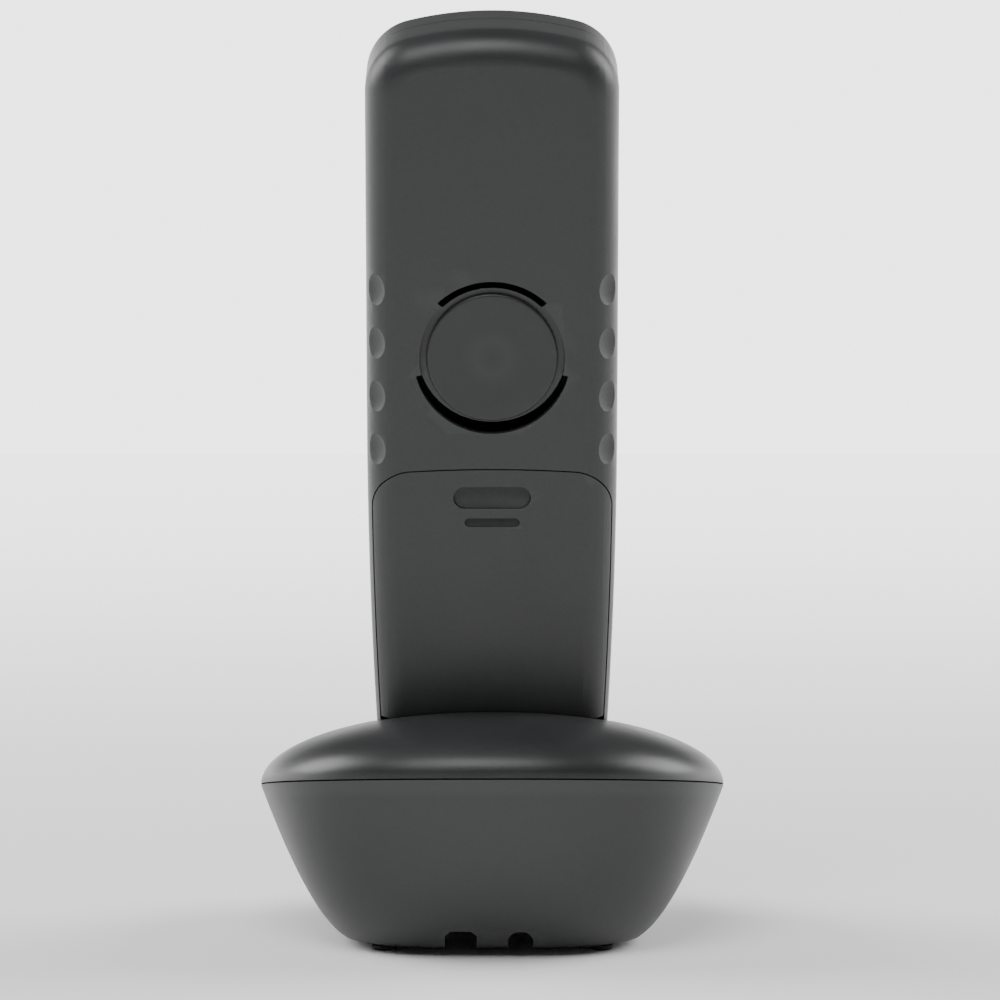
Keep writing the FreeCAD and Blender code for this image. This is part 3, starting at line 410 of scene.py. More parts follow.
# lacquered ring of the navigation key: sprayed metal-effect paint with fine flake
def flakeLacquer(name, colour, flake):
    material, tree, place = startMaterial(name)
    specks = addNode(tree, "ShaderNodeTexVoronoi", {"Scale": 1 / (0.25 * mm)}, {"Vector": place})
    tint = addNode(tree, "ShaderNodeMix", {"data_type": "RGBA", 6: linearColour(colour), 7: linearColour(flake)},
                   {0: specks.outputs["Distance"]})
    shader = addNode(tree, "ShaderNodeBsdfPrincipled",
                     {"IOR": 1.5, "Metallic": 0.55, "Roughness": 0.32, "Coat Weight": 0.4, "Coat Roughness": 0.15},
                     {"Base Color": tint.outputs[2]})
    endMaterial(tree, shader)
    return material


absHousing = mouldedAbs("mouldedAbsHousing", "#212223", "#353637")
absBase = mouldedAbs("mouldedAbsBase", "#1F2021", "#333435", roughness=0.4)
absTrim = mouldedAbs("mouldedAbsTrim", "#1E1F20", "#2F3031", roughness=0.45, grain=0.3, depth=0.03)
# a darker ABS for the battery tray: painted shade inside the compartment, the real tray being the housing's plastic
absShadow = mouldedAbs("mouldedAbsInside", "#161717", "#222323", roughness=0.6, wear=0.0)
absKey = mouldedAbs("mouldedAbsKey", "#262728", "#3A3B3C", roughness=0.36, grain=0.3, depth=0.02)
absTalk = mouldedAbs("mouldedAbsTalkKey", "#2F6B3E", "#4E8F5C", roughness=0.36, grain=0.3, depth=0.02)
absEnd = mouldedAbs("mouldedAbsEndKey", "#9A2622", "#B84A44", roughness=0.36, grain=0.3, depth=0.02)
nylonSocket = mouldedAbs("mouldedNylonSocket", "#191A1A", "#2A2B2B", roughness=0.5)
speakerPaper = mouldedAbs("mouldedFrame", "#202122", "#343536", roughness=0.6)
componentBlack = mouldedAbs("mouldedEpoxyBlock", "#1B1B1C", "#313233", roughness=0.5)
legendInk = mouldedAbs("printedLegendInk", "#C9CBCC", "#E6E7E8", roughness=0.5, depth=0.005, wear=0.0)
cellSleeve = mouldedAbs("shrunkCellSleeve", "#1F5A3A", "#2F7A50", roughness=0.25, grain=1.2, depth=0.02)
blackBorder = mouldedAbs("screenPrintedBorder", "#0D0E0E", "#161717", roughness=0.2, depth=0.004, wear=0.0)
rubberFoot = mattElastomer("mouldedRubber", "#1E1F1F", "#3A3B3B")
siliconeMat = mattElastomer("mouldedSilicone", "#3C3E3F", "#585A5B", roughness=0.6)
foamCloth = mattElastomer("wovenAcousticCloth", "#141515", "#2C2D2D", roughness=0.9, grain=0.35)
nickelSteel = platedMetal("nickelPlatedSteel", "#B9BABB", "#8C8E90")
goldContact = platedMetal("goldFlashedContact", "#D8AE5C", "#A8803A", roughness=0.22)
boardMask = solderMask("solderMaskedBoard", "#0E4A2A", "#1E6B40")
lensClear = clearAcrylic("castAcrylicLens")
panelGlass = liquidCrystal("liquidCrystalPanel")
ringLacquer = flakeLacquer("sprayedRingLacquer", "#6E7174", "#A9ADB0")
print("materials made:", len(bpy.data.materials))


shown = []  # piece, body, slot and replaced nodes


def dress(piece, body, material, slot, *replaced):
    piece.data.materials.clear()
    piece.data.materials.append(material)
    shown.append((piece, body, slot, replaced))
    return piece


# back half of the handset
backHalf = dict(
    coverTop=73.0, coverFoot=19.65, coverMargin=1.1, coverCorner=8.0, coverGap=0.25, coverDepth=11.6,
    coverArch=0.5, housingFoot=18.6, ringerHeight=96.5, discRadius=13.25, grooveRadius=14.7,
    grooveDepth=1.25, slotRadius=15.85, slotDepth=3.0, topSlotHalf=44, topSlotOverlap=0.4,
    footSlotHalf=76, footSlotGap=0.35, footSlotTaper=1.1,
    gripTop=110.3, gripPitch=11.1, gripCount=4, gripBall=12.0, gripSink=0.4, gripStretch=0.85,
    gripInset=0.35, edgeRound=0.16, beyond=2.0,
)
# hollows in the cover: drop below its head, half width, half height and depth
coverHollows = dict(recess=(5.9, 8.0, 2.5, 1.4), lip=(11.1, 5.7, 1.0, 0.9))
hingePin = dict(height=19.6, depth=14.6, inner=15, outer=19, radius=0.9, chamfer=0.2)


def coverOutline(gap, foot):
    b = backHalf
    head = b["coverTop"] + gap
    shoulder = b["coverCorner"] + gap
    shoulderUp = head - b["coverArch"] - shoulder
    margin = b["coverMargin"] - gap
    right = []
    for k in range(17):
        up = foot + (shoulderUp - foot) * k / 16
        right.append((halfAt(up) - margin, up))
    half = right[-1][0]
    right += circlePoints(half - shoulder, shoulderUp, shoulder, 14, 0, 90)[1:]
    across = half - shoulder
    arch = [(across * (1 - k / 12), head - b["coverArch"] * (1 - k / 12) ** 2) for k in range(1, 13)]
    right += arch
    left = [(-x, z) for x, z in reversed(right[:-1])]
    return right + left


def arcBand(inner, outer, middleAngle, halfSweep, taper=0.0, count=40):
    # a curved slot about the ringer's middle, whose inner edge may draw towards the outer one at its ends
    up = backHalf["ringerHeight"]
    outside = circlePoints(0, up, outer, count, middleAngle - halfSweep, 2 * halfSweep)
    inside = []
    for k in range(count + 1):
        share = 2 * k / count - 1
        angle = math.radians(middleAngle - halfSweep + 2 * halfSweep * k / count)
        radius = inner + taper * abs(share) ** 1.5
        inside.append((radius * math.cos(angle), up + radius * math.sin(angle)))
    return outside + list(reversed(inside))


def gripCutters():
    # balls sunk into the rounded back edges, flattened a little along the length
    b = backHalf
    corner = handset["backRound"] * (1 - math.sqrt(0.5))
    stand = b["gripBall"] - b["gripSink"]
    cutters = []
    for side in (-1, 1):
        for k in range(b["gripCount"]):
            up = b["gripTop"] - k * b["gripPitch"]
            bm = bmesh.new()
            bmesh.ops.create_uvsphere(bm, u_segments=96, v_segments=64, radius=b["gripBall"])
            bmesh.ops.scale(bm, vec=(1, 1, b["gripStretch"]), verts=bm.verts)
            out = halfAt(up) - b["gripInset"] - corner + stand * math.sqrt(0.5)
            back = handset["backDepth"] - corner + stand * math.sqrt(0.5)
            bmesh.ops.translate(bm, vec=(side * out, back, up), verts=bm.verts)
            cutters.append(newPiece("gripBall", bm, handsetStand))
    return cutters


def makeRearShell():
    b = backHalf
    depth = handset["backDepth"]
    shell = housingShell("rearShell", depth, handset["backRound"], handset["wall"], 1)
    cutInCells(shell)
    up = b["ringerHeight"]
    topSlot = arcBand(b["grooveRadius"] - b["topSlotOverlap"], b["slotRadius"], 90, b["topSlotHalf"])
    footSlot = arcBand(b["discRadius"] + b["footSlotGap"], b["slotRadius"], -90, b["footSlotHalf"],
                       taper=b["footSlotTaper"], count=56)
    slotFloor = depth - b["slotDepth"]
    past = depth + b["beyond"]
    cutters = [
        prism("opening", coverOutline(b["coverGap"], b["housingFoot"]), b["coverDepth"] - 0.3,
              depth + 2 * b["beyond"], handsetStand),
        prism("groove", circlePoints(0, up, b["grooveRadius"], 120), depth - b["grooveDepth"], past, handsetStand),
        prism("topSlot", topSlot, slotFloor, past, handsetStand),
        prism("footSlot", footSlot, slotFloor, past, handsetStand),
    ] + gripCutters()
    cutAway(shell, cutters)
    # a low angle, so that the shallow rims of the finger scallops get their radius too
    softenEdges(shell, b["edgeRound"], angle=11)
    return dress(shell, "handset", absHousing, "housing", "rear_housing")


def makeCover():
    b = backHalf
    depth = handset["backDepth"]
    cover = housingShell("batteryCover", depth, handset["backRound"], handset["wall"] - 0.2, 1)
    cutInCells(cover)
    blank = prism("blank", coverOutline(0, b["coverFoot"]), b["coverDepth"], depth + 2 * b["beyond"], handsetStand)
    cutAway(cover, [blank], "INTERSECT")
    # the thumb recess and the shorter lip below it, both deeper towards the top
    cutters = []
    for name, (drop, wide, tall, sink) in coverHollows.items():
        up = b["coverTop"] - drop
        outline = roundedRectangle(-wide, up - tall, 2 * wide, 2 * tall, tall - 0.02, 14)
        mouth = [(x, depth + 1.0, z) for x, z in outline]
        bottom = [(x * 0.97, depth - sink * (0.45 + 0.55 * (z - up + tall) / (2 * tall)), up + (z - up) * 0.86)
                  for x, z in outline]
        cutters.append(newPiece(name, ringsToMesh([mouth, bottom]), handsetStand))
    cutAway(cover, cutters)
    pin = hingePin
    tip = pin["radius"] - pin["chamfer"]
    profile = [(0.0001, pin["inner"]), (tip, pin["inner"]), (pin["radius"], pin["inner"] + pin["chamfer"]),
               (pin["radius"], pin["outer"] - pin["chamfer"]), (tip, pin["outer"]), (0.0001, pin["outer"])]
    for side in (-1, 1):
        stand = (handsetStand @ Matrix.Translation((0, pin["depth"], pin["height"]))
                 @ Matrix.Rotation(side * math.pi / 2, 4, "Y"))
        cutAway(cover, [lathe("pin", profile, stand, 24)], "UNION")
    softenEdges(cover, b["edgeRound"], angle=20)
    return dress(cover, "battery_cover", absHousing, "housing", "battery_cover")


def makeRingerDisc():
    b = backHalf
    radius = b["discRadius"]
    depth = handset["backDepth"]
    low = depth - 0.95
    face = depth - 0.05
    profile = [(pole, low), (radius, low), (radius, face - 0.45), (radius - 0.08, face - 0.22),
               (radius - 0.25, face - 0.06), (radius - 0.6, face), (radius - 2.5, face - 0.05),
               (radius * 0.55, face - 0.12), (radius * 0.25, face - 0.15), (pole, face - 0.16)]
    disc = lathe("ringerDisc", profile, faceBack(0, 0, b["ringerHeight"]), 120)
    softenEdges(disc, 0)
    return dress(disc, "handset", absTrim, "trim", "ringer_cover")


def makeTray():
    # the battery compartment that shows when the cover is open
    half = 22.9
    # each wall runs from left, foot and inner depth to right, top and outer depth
    walls = [(-half, 4.0, 1.0, half, 73.0, 2.4), (-13.4, 15.0, 2.4, -12.2, 73.0, 10.9),
             (12.2, 15.0, 2.4, 13.4, 73.0, 10.9), (-13.4, 14.4, 2.4, 13.4, 15.8, 10.9),
             (-13.4, 70.5, 2.4, 13.4, 71.9, 10.9), (-1.0, 27.0, 2.4, 1.0, 58.0, 3.6)]
    bm = bmesh.new()
    for x0, z0, y0, x1, z1, y1 in walls:
        made = bmesh.ops.create_cube(bm, size=1.0)["verts"]
        bmesh.ops.scale(bm, vec=(x1 - x0 - 0.02, y1 - y0, z1 - z0 - 0.02), verts=made)
        bmesh.ops.translate(bm, vec=((x0 + x1) / 2, (y0 + y1) / 2, (z0 + z1) / 2), verts=made)
    tray = newPiece("batteryTray", bm, handsetStand)
    softenEdges(tray, 0.2)
    # the tray is dressed darker than the housing as painted shade inside the battery compartment
    return dress(tray, "handset", absShadow, "housing")


battery = dict(across=6.2, depth=8.3, foot=21.0, bareTop=43.25, bareFoot=0.2)


def makeCells():
    # a rounded can with its small plus cap on top
    profile = [(pole, 0), (4.6, 0), (5.05, 0.25), (5.2, 0.7), (5.2, 42.6), (4.9, 43.2), (2.4, 43.3), (2.3, 43.4),
               (1.9, 43.5), (1.9, 44.3), (1.7, 44.5), (pole, 44.5)]
    for side, name in ((-1, "left"), (1, "right")):
        stand = handsetStand @ Matrix.Translation((side * battery["across"], battery["depth"], battery["foot"]))
        cell = lathe(f"cell_{name}", profile, stand)
        softenEdges(cell, 0, angle=45)
        dress(cell, "handset", cellSleeve, "cell_jacket", f"battery_cell_{name}")
        cell.data.materials.append(nickelSteel)
        for face in cell.data.polygons:
            local = stand.inverted() @ face.center
            if local.z > battery["bareTop"] or local.z < battery["bareFoot"]:
                face.material_index = 1


makeRearShell()
makeCover()
makeRingerDisc()
makeTray()
makeCells()
print("handset back made")


# pebble-shaped base
base = dict(
    width=96.0, depth=88.0, footWidth=59.0, footDepth=46.0, seam=31.5, slope=0.185, rise=15.4,
    wall=2.0, floor=1.0, gap=0.15, steps=128, footRound=0.9,
    wellWidth=38.0, wellDepth=21.0, wellRear=17.0, wellRoof=13.0, wellWall=1.6,
    notchHeight=4.9, wideNotch=6.5, widePlace=6.4, slimNotch=5.2, slimPlace=-5.8,
    socketSpread=8.2, socketWidth=13.0, socketHeight=10.6, screwAcross=23.5, screwDeep=(-8.0, 9.0),
    flare=0.62, squareness=3.2, squarenessFall=0.8, rimSquareness=2.4, crownEase=0.2,
    notchChamfer=1.2, channelEnd=47.0, socketFoot=3.5, windowGap=0.1, postRadius=3.0, headBore=2.8,
    shankBore=1.6, upperPost=2.8, upperBore=1.4, contactAcross=12.0, contactDepth=-5.0, contactRoom=(1.8, 2.8),
    cradleGap=0.8, cradleWall=1.6, pagingRadius=4.4, pagingPlace=-32.5, pagingGap=0.3, pagingProud=0.6,
    lipRound=0.3,
)
seamTilt = math.atan(base["slope"])
pagingStand = (baseStand @ Matrix.Translation((0, base["pagingPlace"] + 3, base["seam"] - 12))
               @ Matrix.Rotation(seamTilt, 4, "X"))


def pebbleRing(halfWidth, halfDepth, squareness, height, slope):
    ring = []
    for k in range(base["steps"]):
        angle = 2 * math.pi * k / base["steps"]
        across = math.copysign(abs(math.cos(angle)) ** (2 / squareness), math.cos(angle)) * halfWidth
        deep = math.copysign(abs(math.sin(angle)) ** (2 / squareness), math.sin(angle)) * halfDepth
        ring.append((across, deep, height + slope * deep))
    return ring


def bowlRing(share, inset, floor, below):
    b = base
    growth = share ** b["flare"]
    halfWidth = b["footWidth"] / 2 + (b["width"] - b["footWidth"]) / 2 * growth
    halfDepth = b["footDepth"] / 2 + (b["depth"] - b["footDepth"]) / 2 * growth
    height = floor + (b["seam"] - below - floor) * share
    return pebbleRing(halfWidth - inset, halfDepth - inset, b["squareness"] - b["squarenessFall"] * share,
                      height, b["slope"] * share)


def domeRings(inset, above, proud=0.0):
    # quarter-turn steps keep the rim and the crown equally smooth
    b = base
    rings = []
    for k in range(27):
        turn = math.radians(3.0 * k)
        share = math.cos(turn)
        height = b["seam"] + above + (b["rise"] - inset + proud) * math.sin(turn)
        rings.append(pebbleRing((b["width"] / 2 - inset + proud) * share, (b["depth"] / 2 - inset + proud) * share,
                                b["rimSquareness"] - b["crownEase"] * (1 - share), height, b["slope"]))
    return rings


def blockBm(low, high):
    bm = bmesh.new()
    bmesh.ops.create_cube(bm, size=1.0)
    bmesh.ops.scale(bm, vec=[h - l for l, h in zip(low, high)], verts=bm.verts)
    bmesh.ops.translate(bm, vec=[(h + l) / 2 for l, h in zip(low, high)], verts=bm.verts)
    return bm


def makeBowl():
    b = base
    shares = [(k / 30) ** 1.6 for k in range(31)]
    outerRings = [bowlRing(0, b["footRound"], b["floor"], b["gap"]),
                  bowlRing(0, b["footRound"] * 0.3, b["floor"] + b["footRound"] * 0.24, b["gap"])]
    outerRings += [bowlRing(share, 0, b["floor"], b["gap"]) for share in shares if share > 0.02]
    bowl = newPiece("baseBowl", ringsToMesh(outerRings))
    floor = b["floor"] + b["wall"]
    innerRings = [bowlRing(share, b["wall"], floor, -b["gap"] - 0.2) for share in shares]
    hollow = newPiece("hollow", ringsToMesh(innerRings))
    wellHalf = b["wellWidth"] / 2
    wellFront = b["wellRear"] - b["wellDepth"]
    thick = b["wellWall"]
    walls = [newPiece("walls", blockBm((-wellHalf - thick, wellFront - thick, 0),
                                       (wellHalf + thick, b["wellRear"] + thick, b["wellRoof"] + thick)))]
    cutters = [newPiece("well", blockBm((-wellHalf, wellFront, -1), (wellHalf, b["wellRear"], b["wellRoof"])))]
    # each cable has its own channel and notch: one flat topped with cut corners, one round topped
    for width, middle, flatTop in ((b["wideNotch"], b["widePlace"], True), (b["slimNotch"], b["slimPlace"], False)):
        half = width / 2
        walls.append(newPiece("channel", blockBm((middle - half - thick, b["wellRear"] - 0.5, 0.1),
                                                 (middle + half + thick, b["channelEnd"], b["notchHeight"] + 3))))
        top = b["notchHeight"] + b["floor"]
        if flatTop:
            chamfer = b["notchChamfer"]
            arch = [(middle + half, top - chamfer), (middle + half - chamfer, top),
                    (middle - half + chamfer, top), (middle - half, top - chamfer)]
        else:
            arch = circlePoints(middle, top - half, half, 20, 0, 180)
        outline = [(middle - half, -1), (middle + half, -1)] + arch
        cutters.append(prism("notch", outline, b["wellRear"] - 1.5, 60, baseStand))
    for side in (-1, 1):
        x = side * b["socketSpread"] - b["socketWidth"] / 2 - b["windowGap"]
        cutters.append(newPiece("window", blockBm(
            (x, wellFront - 3, b["socketFoot"] - 2 * b["windowGap"]),
            (x + b["socketWidth"] + 2 * b["windowGap"], wellFront + 1, b["socketFoot"] + b["socketHeight"]))))
        for deep in b["screwDeep"]:
            bore = [(pole, -1), (b["headBore"], -1), (b["headBore"], 3.4), (b["shankBore"], 3.4),
                    (b["shankBore"], 20), (pole, 20)]
            stand = baseStand @ Matrix.Translation((side * b["screwAcross"], deep, 0))
            walls.append(lathe("post", rod(b["postRadius"], 1.2, 16), stand, 32))
            cutters.append(lathe("bore", bore, stand, 32))
    cutAway(hollow, walls)
    cutAway(bowl, [hollow] + cutters)
    softenEdges(bowl, 0.25, angle=42)
    return dress(bowl, "base", absBase, "housing", "base_lower_housing")


def domeSolid(inset, above, skirt, foot):
    # the cap, with an inset skirt below it that the cradle's tub can hang in
    b = base
    rings = domeRings(inset, above)
    plane = b["seam"] + above
    halfWidth, halfDepth = b["width"] / 2 - skirt, b["depth"] / 2 - skirt
    low = [pebbleRing(halfWidth, halfDepth, b["rimSquareness"], height, slope)
           for height, slope in ((foot, 0.0), (plane, b["slope"]))]
    return ringsToMesh(low + rings)


def cradleBlock(name, grow, foot, top):
    # a round-cornered block about the handset's foot
    half = handset["half"] - 1.5 + grow
    deepest, nearest = handset["backDepth"] + grow, -handset["frontDepth"] - grow
    backRound, frontRound = handset["backRound"], handset["frontRound"] + 1
    corners = [(half - backRound, deepest - backRound, backRound, 0),
               (-half + backRound, deepest - backRound, backRound, 90),
               (-half + frontRound, nearest + frontRound, frontRound, 180),
               (half - frontRound, nearest + frontRound, frontRound, 270)]
    outline = []
    for x, y, radius, start in corners:
        outline += circlePoints(x, y, radius, 12, start, 90)
    return prism(name, outline, foot, top, handsetStand, axis="z")


def contactBlock(name, side, halfAcross, halfDeep, low, high):
    # room about one charging contact under the handset's foot
    across, deep = side * base["contactAcross"], base["contactDepth"]
    return newPiece(name, blockBm((across - halfAcross, deep - halfDeep, low),
                                  (across + halfAcross, deep + halfDeep, high)), handsetStand)


def makeDome():
    b = base
    dome = newPiece("baseDome", domeSolid(0, b["gap"], 8, 17))
    hollow = newPiece("hollow", domeSolid(b["wall"], b["gap"] - 0.02, 7, 16))
    kept = [cradleBlock("tub", b["cradleGap"] + b["cradleWall"], -2, 34)]
    cutters = [cradleBlock("pocket", b["cradleGap"], -0.3, 44)]
    for side in (-1, 1):
        cutters.append(contactBlock("slot", side, *b["contactRoom"], -3, 1))
        for deep in b["screwDeep"]:
            stand = baseStand @ Matrix.Translation((side * b["screwAcross"], deep, 0))
            kept.append(lathe("post", rod(b["upperPost"], 16.2, 36), stand, 32))
            cutters.append(lathe("bore", rod(b["upperBore"], 12, 25), stand, 24))
    cutters.append(lathe("pagingHole", rod(b["pagingRadius"] + b["pagingGap"], 0, 20), pagingStand, 64))
    cutAway(hollow, kept)
    cutAway(dome, [hollow] + cutters)
    softenEdges(dome, b["lipRound"], angle=42)
    return dress(dome, "base", absBase, "housing", "base_upper_housing")


def makePagingKey():
    b = base
    key = newPiece("pagingKey", ringsToMesh(domeRings(0, b["gap"], b["pagingProud"])))
    cutAway(key, [lathe("bar", rod(b["pagingRadius"], 11.1, 34), pagingStand, 64)], "INTERSECT")
    foot = Matrix.Translation((0, b["pagingPlace"] + 1.14, b["seam"] - 1.97)) @ Matrix.Rotation(seamTilt, 4, "X")
    wide = b["pagingRadius"] + 0.9
    neck = b["pagingRadius"] - 0.4
    skirt = lathe("skirt", [(pole, 0), (wide, 0), (wide, 1), (neck, 1), (neck, 3), (pole, 3)], baseStand @ foot, 64)
    stem = lathe("stem", rod(1.8, 0, 11), pagingStand, 32)
    cutAway(key, [skirt, stem], "UNION")
    softenEdges(key, 0.3, angle=42)
    return dress(key, "paging_key", absKey, "key_plastic", "paging_key")


makeBowl()
makeDome()
makePagingKey()
print("base made")


# front half of the handset
front = dict(
    lensWidth=41.0, lensHeight=46.0, lensFoot=95.0, lensThick=0.95, windowMargin=2.0,
    keyWidth=11.6, keyHeight=7.4, pitchAcross=14.0, pitchUp=10.6, keyFoot=22.5, proud=0.7, keyGap=0.3,
    flange=0.7, navRadius=10.0, navHeight=77.0, navCentre=4.2, callPlace=17.0, callHeight=73.0,
    softHeight=85.5, callSize=(8.4, 9.4), softSize=(10.4, 5.4), callBar=(3.6, 1.3), softBar=(4.2, 0.9),
    earHeight=151.0, earSlots=3, earPitch=2.4, earSlot=(9, 1.2), micPlace=(6, 13), micRadius=0.6,
    lensGap=0.15, windowRound=0.6, padRoom=(2.6, 2.6), legendSize=4.6,
)
digits = [("star", "*"), ("zero", "0"), ("hash", "#"), ("seven", "7"), ("eight", "8"), ("nine", "9"),
          ("four", "4"), ("five", "5"), ("six", "6"), ("one", "1"), ("two", "2"), ("three", "3")]
keys = []
for number, (digit, mark) in enumerate(digits):
    keys.append(("key_" + digit, mark, (number % 3 - 1) * front["pitchAcross"],
                 front["keyFoot"] + number // 3 * front["pitchUp"], front["keyWidth"], front["keyHeight"]))
for side, call, soft in ((-1, "talk_key", "left_soft_key"), (1, "end_key", "right_soft_key")):
    keys.append((call, "", side * front["callPlace"], front["callHeight"], *front["callSize"]))
    keys.append((soft, "", side * (front["callPlace"] - 1), front["softHeight"], *front["softSize"]))


def keyOutline(across, up, width, height, inset, radius=2.0):
    corner = max(radius - inset, 0.25)
    return roundedRectangle(across - width / 2 + inset, up - height / 2 + inset, width - 2 * inset,
                            height - 2 * inset, corner, 7)


def lensOutline(margin, steps):
    f = front
    return roundedRectangle(-f["lensWidth"] / 2 + margin, f["lensFoot"] + margin, f["lensWidth"] - 2 * margin,
                            f["lensHeight"] - 2 * margin, f["windowRound"], steps)


def makeFrontShell():
    f = front
    depth = handset["frontDepth"]
    shell = housingShell("frontShell", depth, handset["frontRound"], handset["wall"], -1)
    cutInCells(shell)
    outside, inside = -depth - 2, -depth + 4
    navHole = circlePoints(0, f["navHeight"], f["navRadius"] + 0.4, 96)
    micHole = circlePoints(*f["micPlace"], f["micRadius"], 20)
    cutters = [prism("lensSeat", lensOutline(-f["lensGap"], 4), outside, -depth + 1, handsetStand),
               prism("window", lensOutline(f["windowMargin"], 4), outside, inside, handsetStand),
               prism("navHole", navHole, outside, inside, handsetStand),
               prism("micHole", micHole, outside, inside, handsetStand)]
    for name, mark, across, up, width, height in keys:
        outline = keyOutline(across, up, width + 2 * f["keyGap"], height + 2 * f["keyGap"], 0, 2.2)
        cutters.append(prism("keyHole", outline, outside, inside, handsetStand))
    for number in range(f["earSlots"]):
        wide, tall = f["earSlot"]
        slot = roundedRectangle(-wide / 2, f["earHeight"] - 3 + number * f["earPitch"], wide, tall, tall / 2 - 0.01, 8)
        cutters.append(prism("earSlot", slot, outside, inside, handsetStand))
    for side in (-1, 1):
        cutters.append(contactBlock("padSeat", side, *f["padRoom"], -1, 0.7))
    cutAway(shell, cutters)
    softenEdges(shell, 0.16, angle=20)
    return dress(shell, "handset", absHousing, "housing", "front_housing")


def legendMesh(mark, across, up, depth):
    # a printed character, a hair above the key's crown
    curve = bpy.data.curves.new("mark", "FONT")
    curve.body = mark
    curve.align_x = "CENTER"
    curve.align_y = "CENTER"
    curve.size = front["legendSize"] * (1.5 if mark == "*" else 1.0)
    curve.extrude = 0.03
    curve.resolution_u = 4
    holder = bpy.data.objects.new("mark", curve)
    bpy.context.scene.collection.objects.link(holder)
    mesh = evaluatedMesh(holder)
    bpy.data.objects.remove(holder)
    low = Vector([min(v.co[i] for v in mesh.vertices) for i in range(3)])
    high = Vector([max(v.co[i] for v in mesh.vertices) for i in range(3)])
    mesh.transform(faceFront(across, -depth, up) @ Matrix.Translation(-(low + high) / 2))
    return mesh


def makeKey(name, mark, across, up, width, height):
    f = front
    face = handset["frontDepth"] + f["proud"]
    wall = handset["frontDepth"] - handset["wall"]

    def ring(inset, y):
        return [(x, -y, z) for x, z in keyOutline(across, up, width, height, inset)]
    crown = 0.17
    # a flange behind the shell, the cap's side, its rounded edge and a low crown
    rings = [ring(-f["flange"], wall - 0.95), ring(-f["flange"], wall - 0.15), ring(0, wall - 0.15),
             ring(0, face - 0.4), ring(0.05, face - 0.24), ring(0.16, face - 0.1), ring(0.34, face),
             ring(0.8, face + 0.08), ring(1.5, face + 0.14), ring(2.3, face + crown)]
    key = newPiece(name + "_cap", ringsToMesh(rings), handsetStand)
    softenEdges(key, 0, angle=50)
    material, slot = {"talk_key": (absTalk, "talk_plastic"),
                      "end_key": (absEnd, "end_plastic")}.get(name, (absKey, "key_plastic"))
    dress(key, name, material, slot, name)
    if mark:
        printed = legendMesh(mark, across, up, face + crown)
    else:
        # a level bar marks the call and menu keys
        wide, tall = f["softBar"] if "soft" in name else f["callBar"]
        outline = roundedRectangle(across - wide / 2, up - tall / 2, wide, tall, tall / 2 - 0.02, 6)
        bars = [[(x, -y, z) for x, z in outline] for y in (face + 0.1, face + 0.2)]
        holder = newPiece("bar", ringsToMesh(bars), handsetStand)
        printed = holder.data
        bpy.data.objects.remove(holder)
    label = bpy.data.objects.new(name + "_mark", printed)
    bpy.context.scene.collection.objects.link(label)
    dress(label, name, legendInk, slot)


def makeNavigation():
    f = front
    face = handset["frontDepth"] + f["proud"]
    back = face - 3.6
    outer, inner, wide = f["navRadius"], f["navCentre"] + 0.5, f["navRadius"] + f["flange"]
    # a flange behind the shell, a rounded rim and a face dished towards the centre
    profile = [(inner, back), (wide, back), (wide, back + 0.65), (outer, back + 0.65), (outer, face - 0.55),
               (outer - 0.08, face - 0.28), (outer - 0.3, face - 0.08), (outer - 0.65, face),
               (outer - 1.6, face - 0.02), (outer - 3.0, face - 0.22), (inner + 1.0, face - 0.34),
               (inner + 0.3, face - 0.36), (inner, face - 0.55)]
    stand = faceFront(0, 0, f["navHeight"])
    ring = newPiece("navigationRing", ringsToMesh(turnedRings(profile, 96), loop=True), stand)
    softenEdges(ring, 0, angle=50)
    dress(ring, "navigation_key", ringLacquer, "navigation_plastic", "navigation_key")
    marks = []
    tip = [(0.0, 8.7), (-0.75, 7.75), (0.75, 7.75)]
    for turn in range(4):
        around = Matrix.Rotation(turn * math.pi / 2, 4, "Z")
        rows = [[tuple(around @ Vector((x, y, h))) for x, y in tip] for h in (face - 0.2, face + 0.03)]
        marks.append(ringsToMesh(rows))
    joined = bmesh.new()
    for bm in marks:
        mesh = bpy.data.meshes.new("mark")
        bm.to_mesh(mesh)
        bm.free()
        joined.from_mesh(mesh)
        bpy.data.meshes.remove(mesh)
    dress(newPiece("navigationMarks", joined, stand), "navigation_key", legendInk, "navigation_plastic")
    centre = f["navCentre"]
    top = face + 0.1
    profile = [(pole, top - 4), (centre, top - 4), (centre, top - 0.45), (centre - 0.08, top - 0.22),
               (centre - 0.26, top - 0.06), (centre - 0.55, top), (centre - 1.6, top - 0.1),
               (centre - 2.8, top - 0.18), (pole, top - 0.21)]
    button = lathe("navigationCap", profile, stand, 72)
    softenEdges(button, 0, angle=50)
    dress(button, "navigation_button", absKey, "key_plastic", "navigation_button")


def makeLens():
    f = front
    depth = handset["frontDepth"]
    low = depth - f["lensThick"]
    lens = prism("lensPlate", lensOutline(0, 5), -depth, -low, handsetStand)
    softenEdges(lens, 0.12)
    dress(lens, "handset", lensClear, "lens", "display_lens")
    # the border is printed on the lens's underside
    screen = 33.0
    hole = roundedRectangle(-screen / 2, f["lensFoot"] + 6.5, screen, screen, 0.5, 5)
    border = prism("lensBorder", lensOutline(0.1, 5), -low + 0.01, -low + 0.05, handsetStand)
    cutAway(border, [prism("hole", hole, -low - 1, -low + 1, handsetStand)])
    dress(border, "handset", blackBorder, "lens")


makeFrontShell()
for key in keys:
    makeKey(*key)
makeNavigation()
makeLens()
print("handset front made")


# repeated small parts are laid out by node groups, then kept as plain meshes
def nodeGroup(name, sockets):
    group = bpy.data.node_groups.new(name, "GeometryNodeTree")
    for label, kind, value in sockets:
        socket = group.interface.new_socket(label, in_out="INPUT", socket_type=kind)
        if value is not None:
            socket.default_value = value
    group.interface.new_socket("Geometry", in_out="OUTPUT", socket_type="NodeSocketGeometry")
    return group


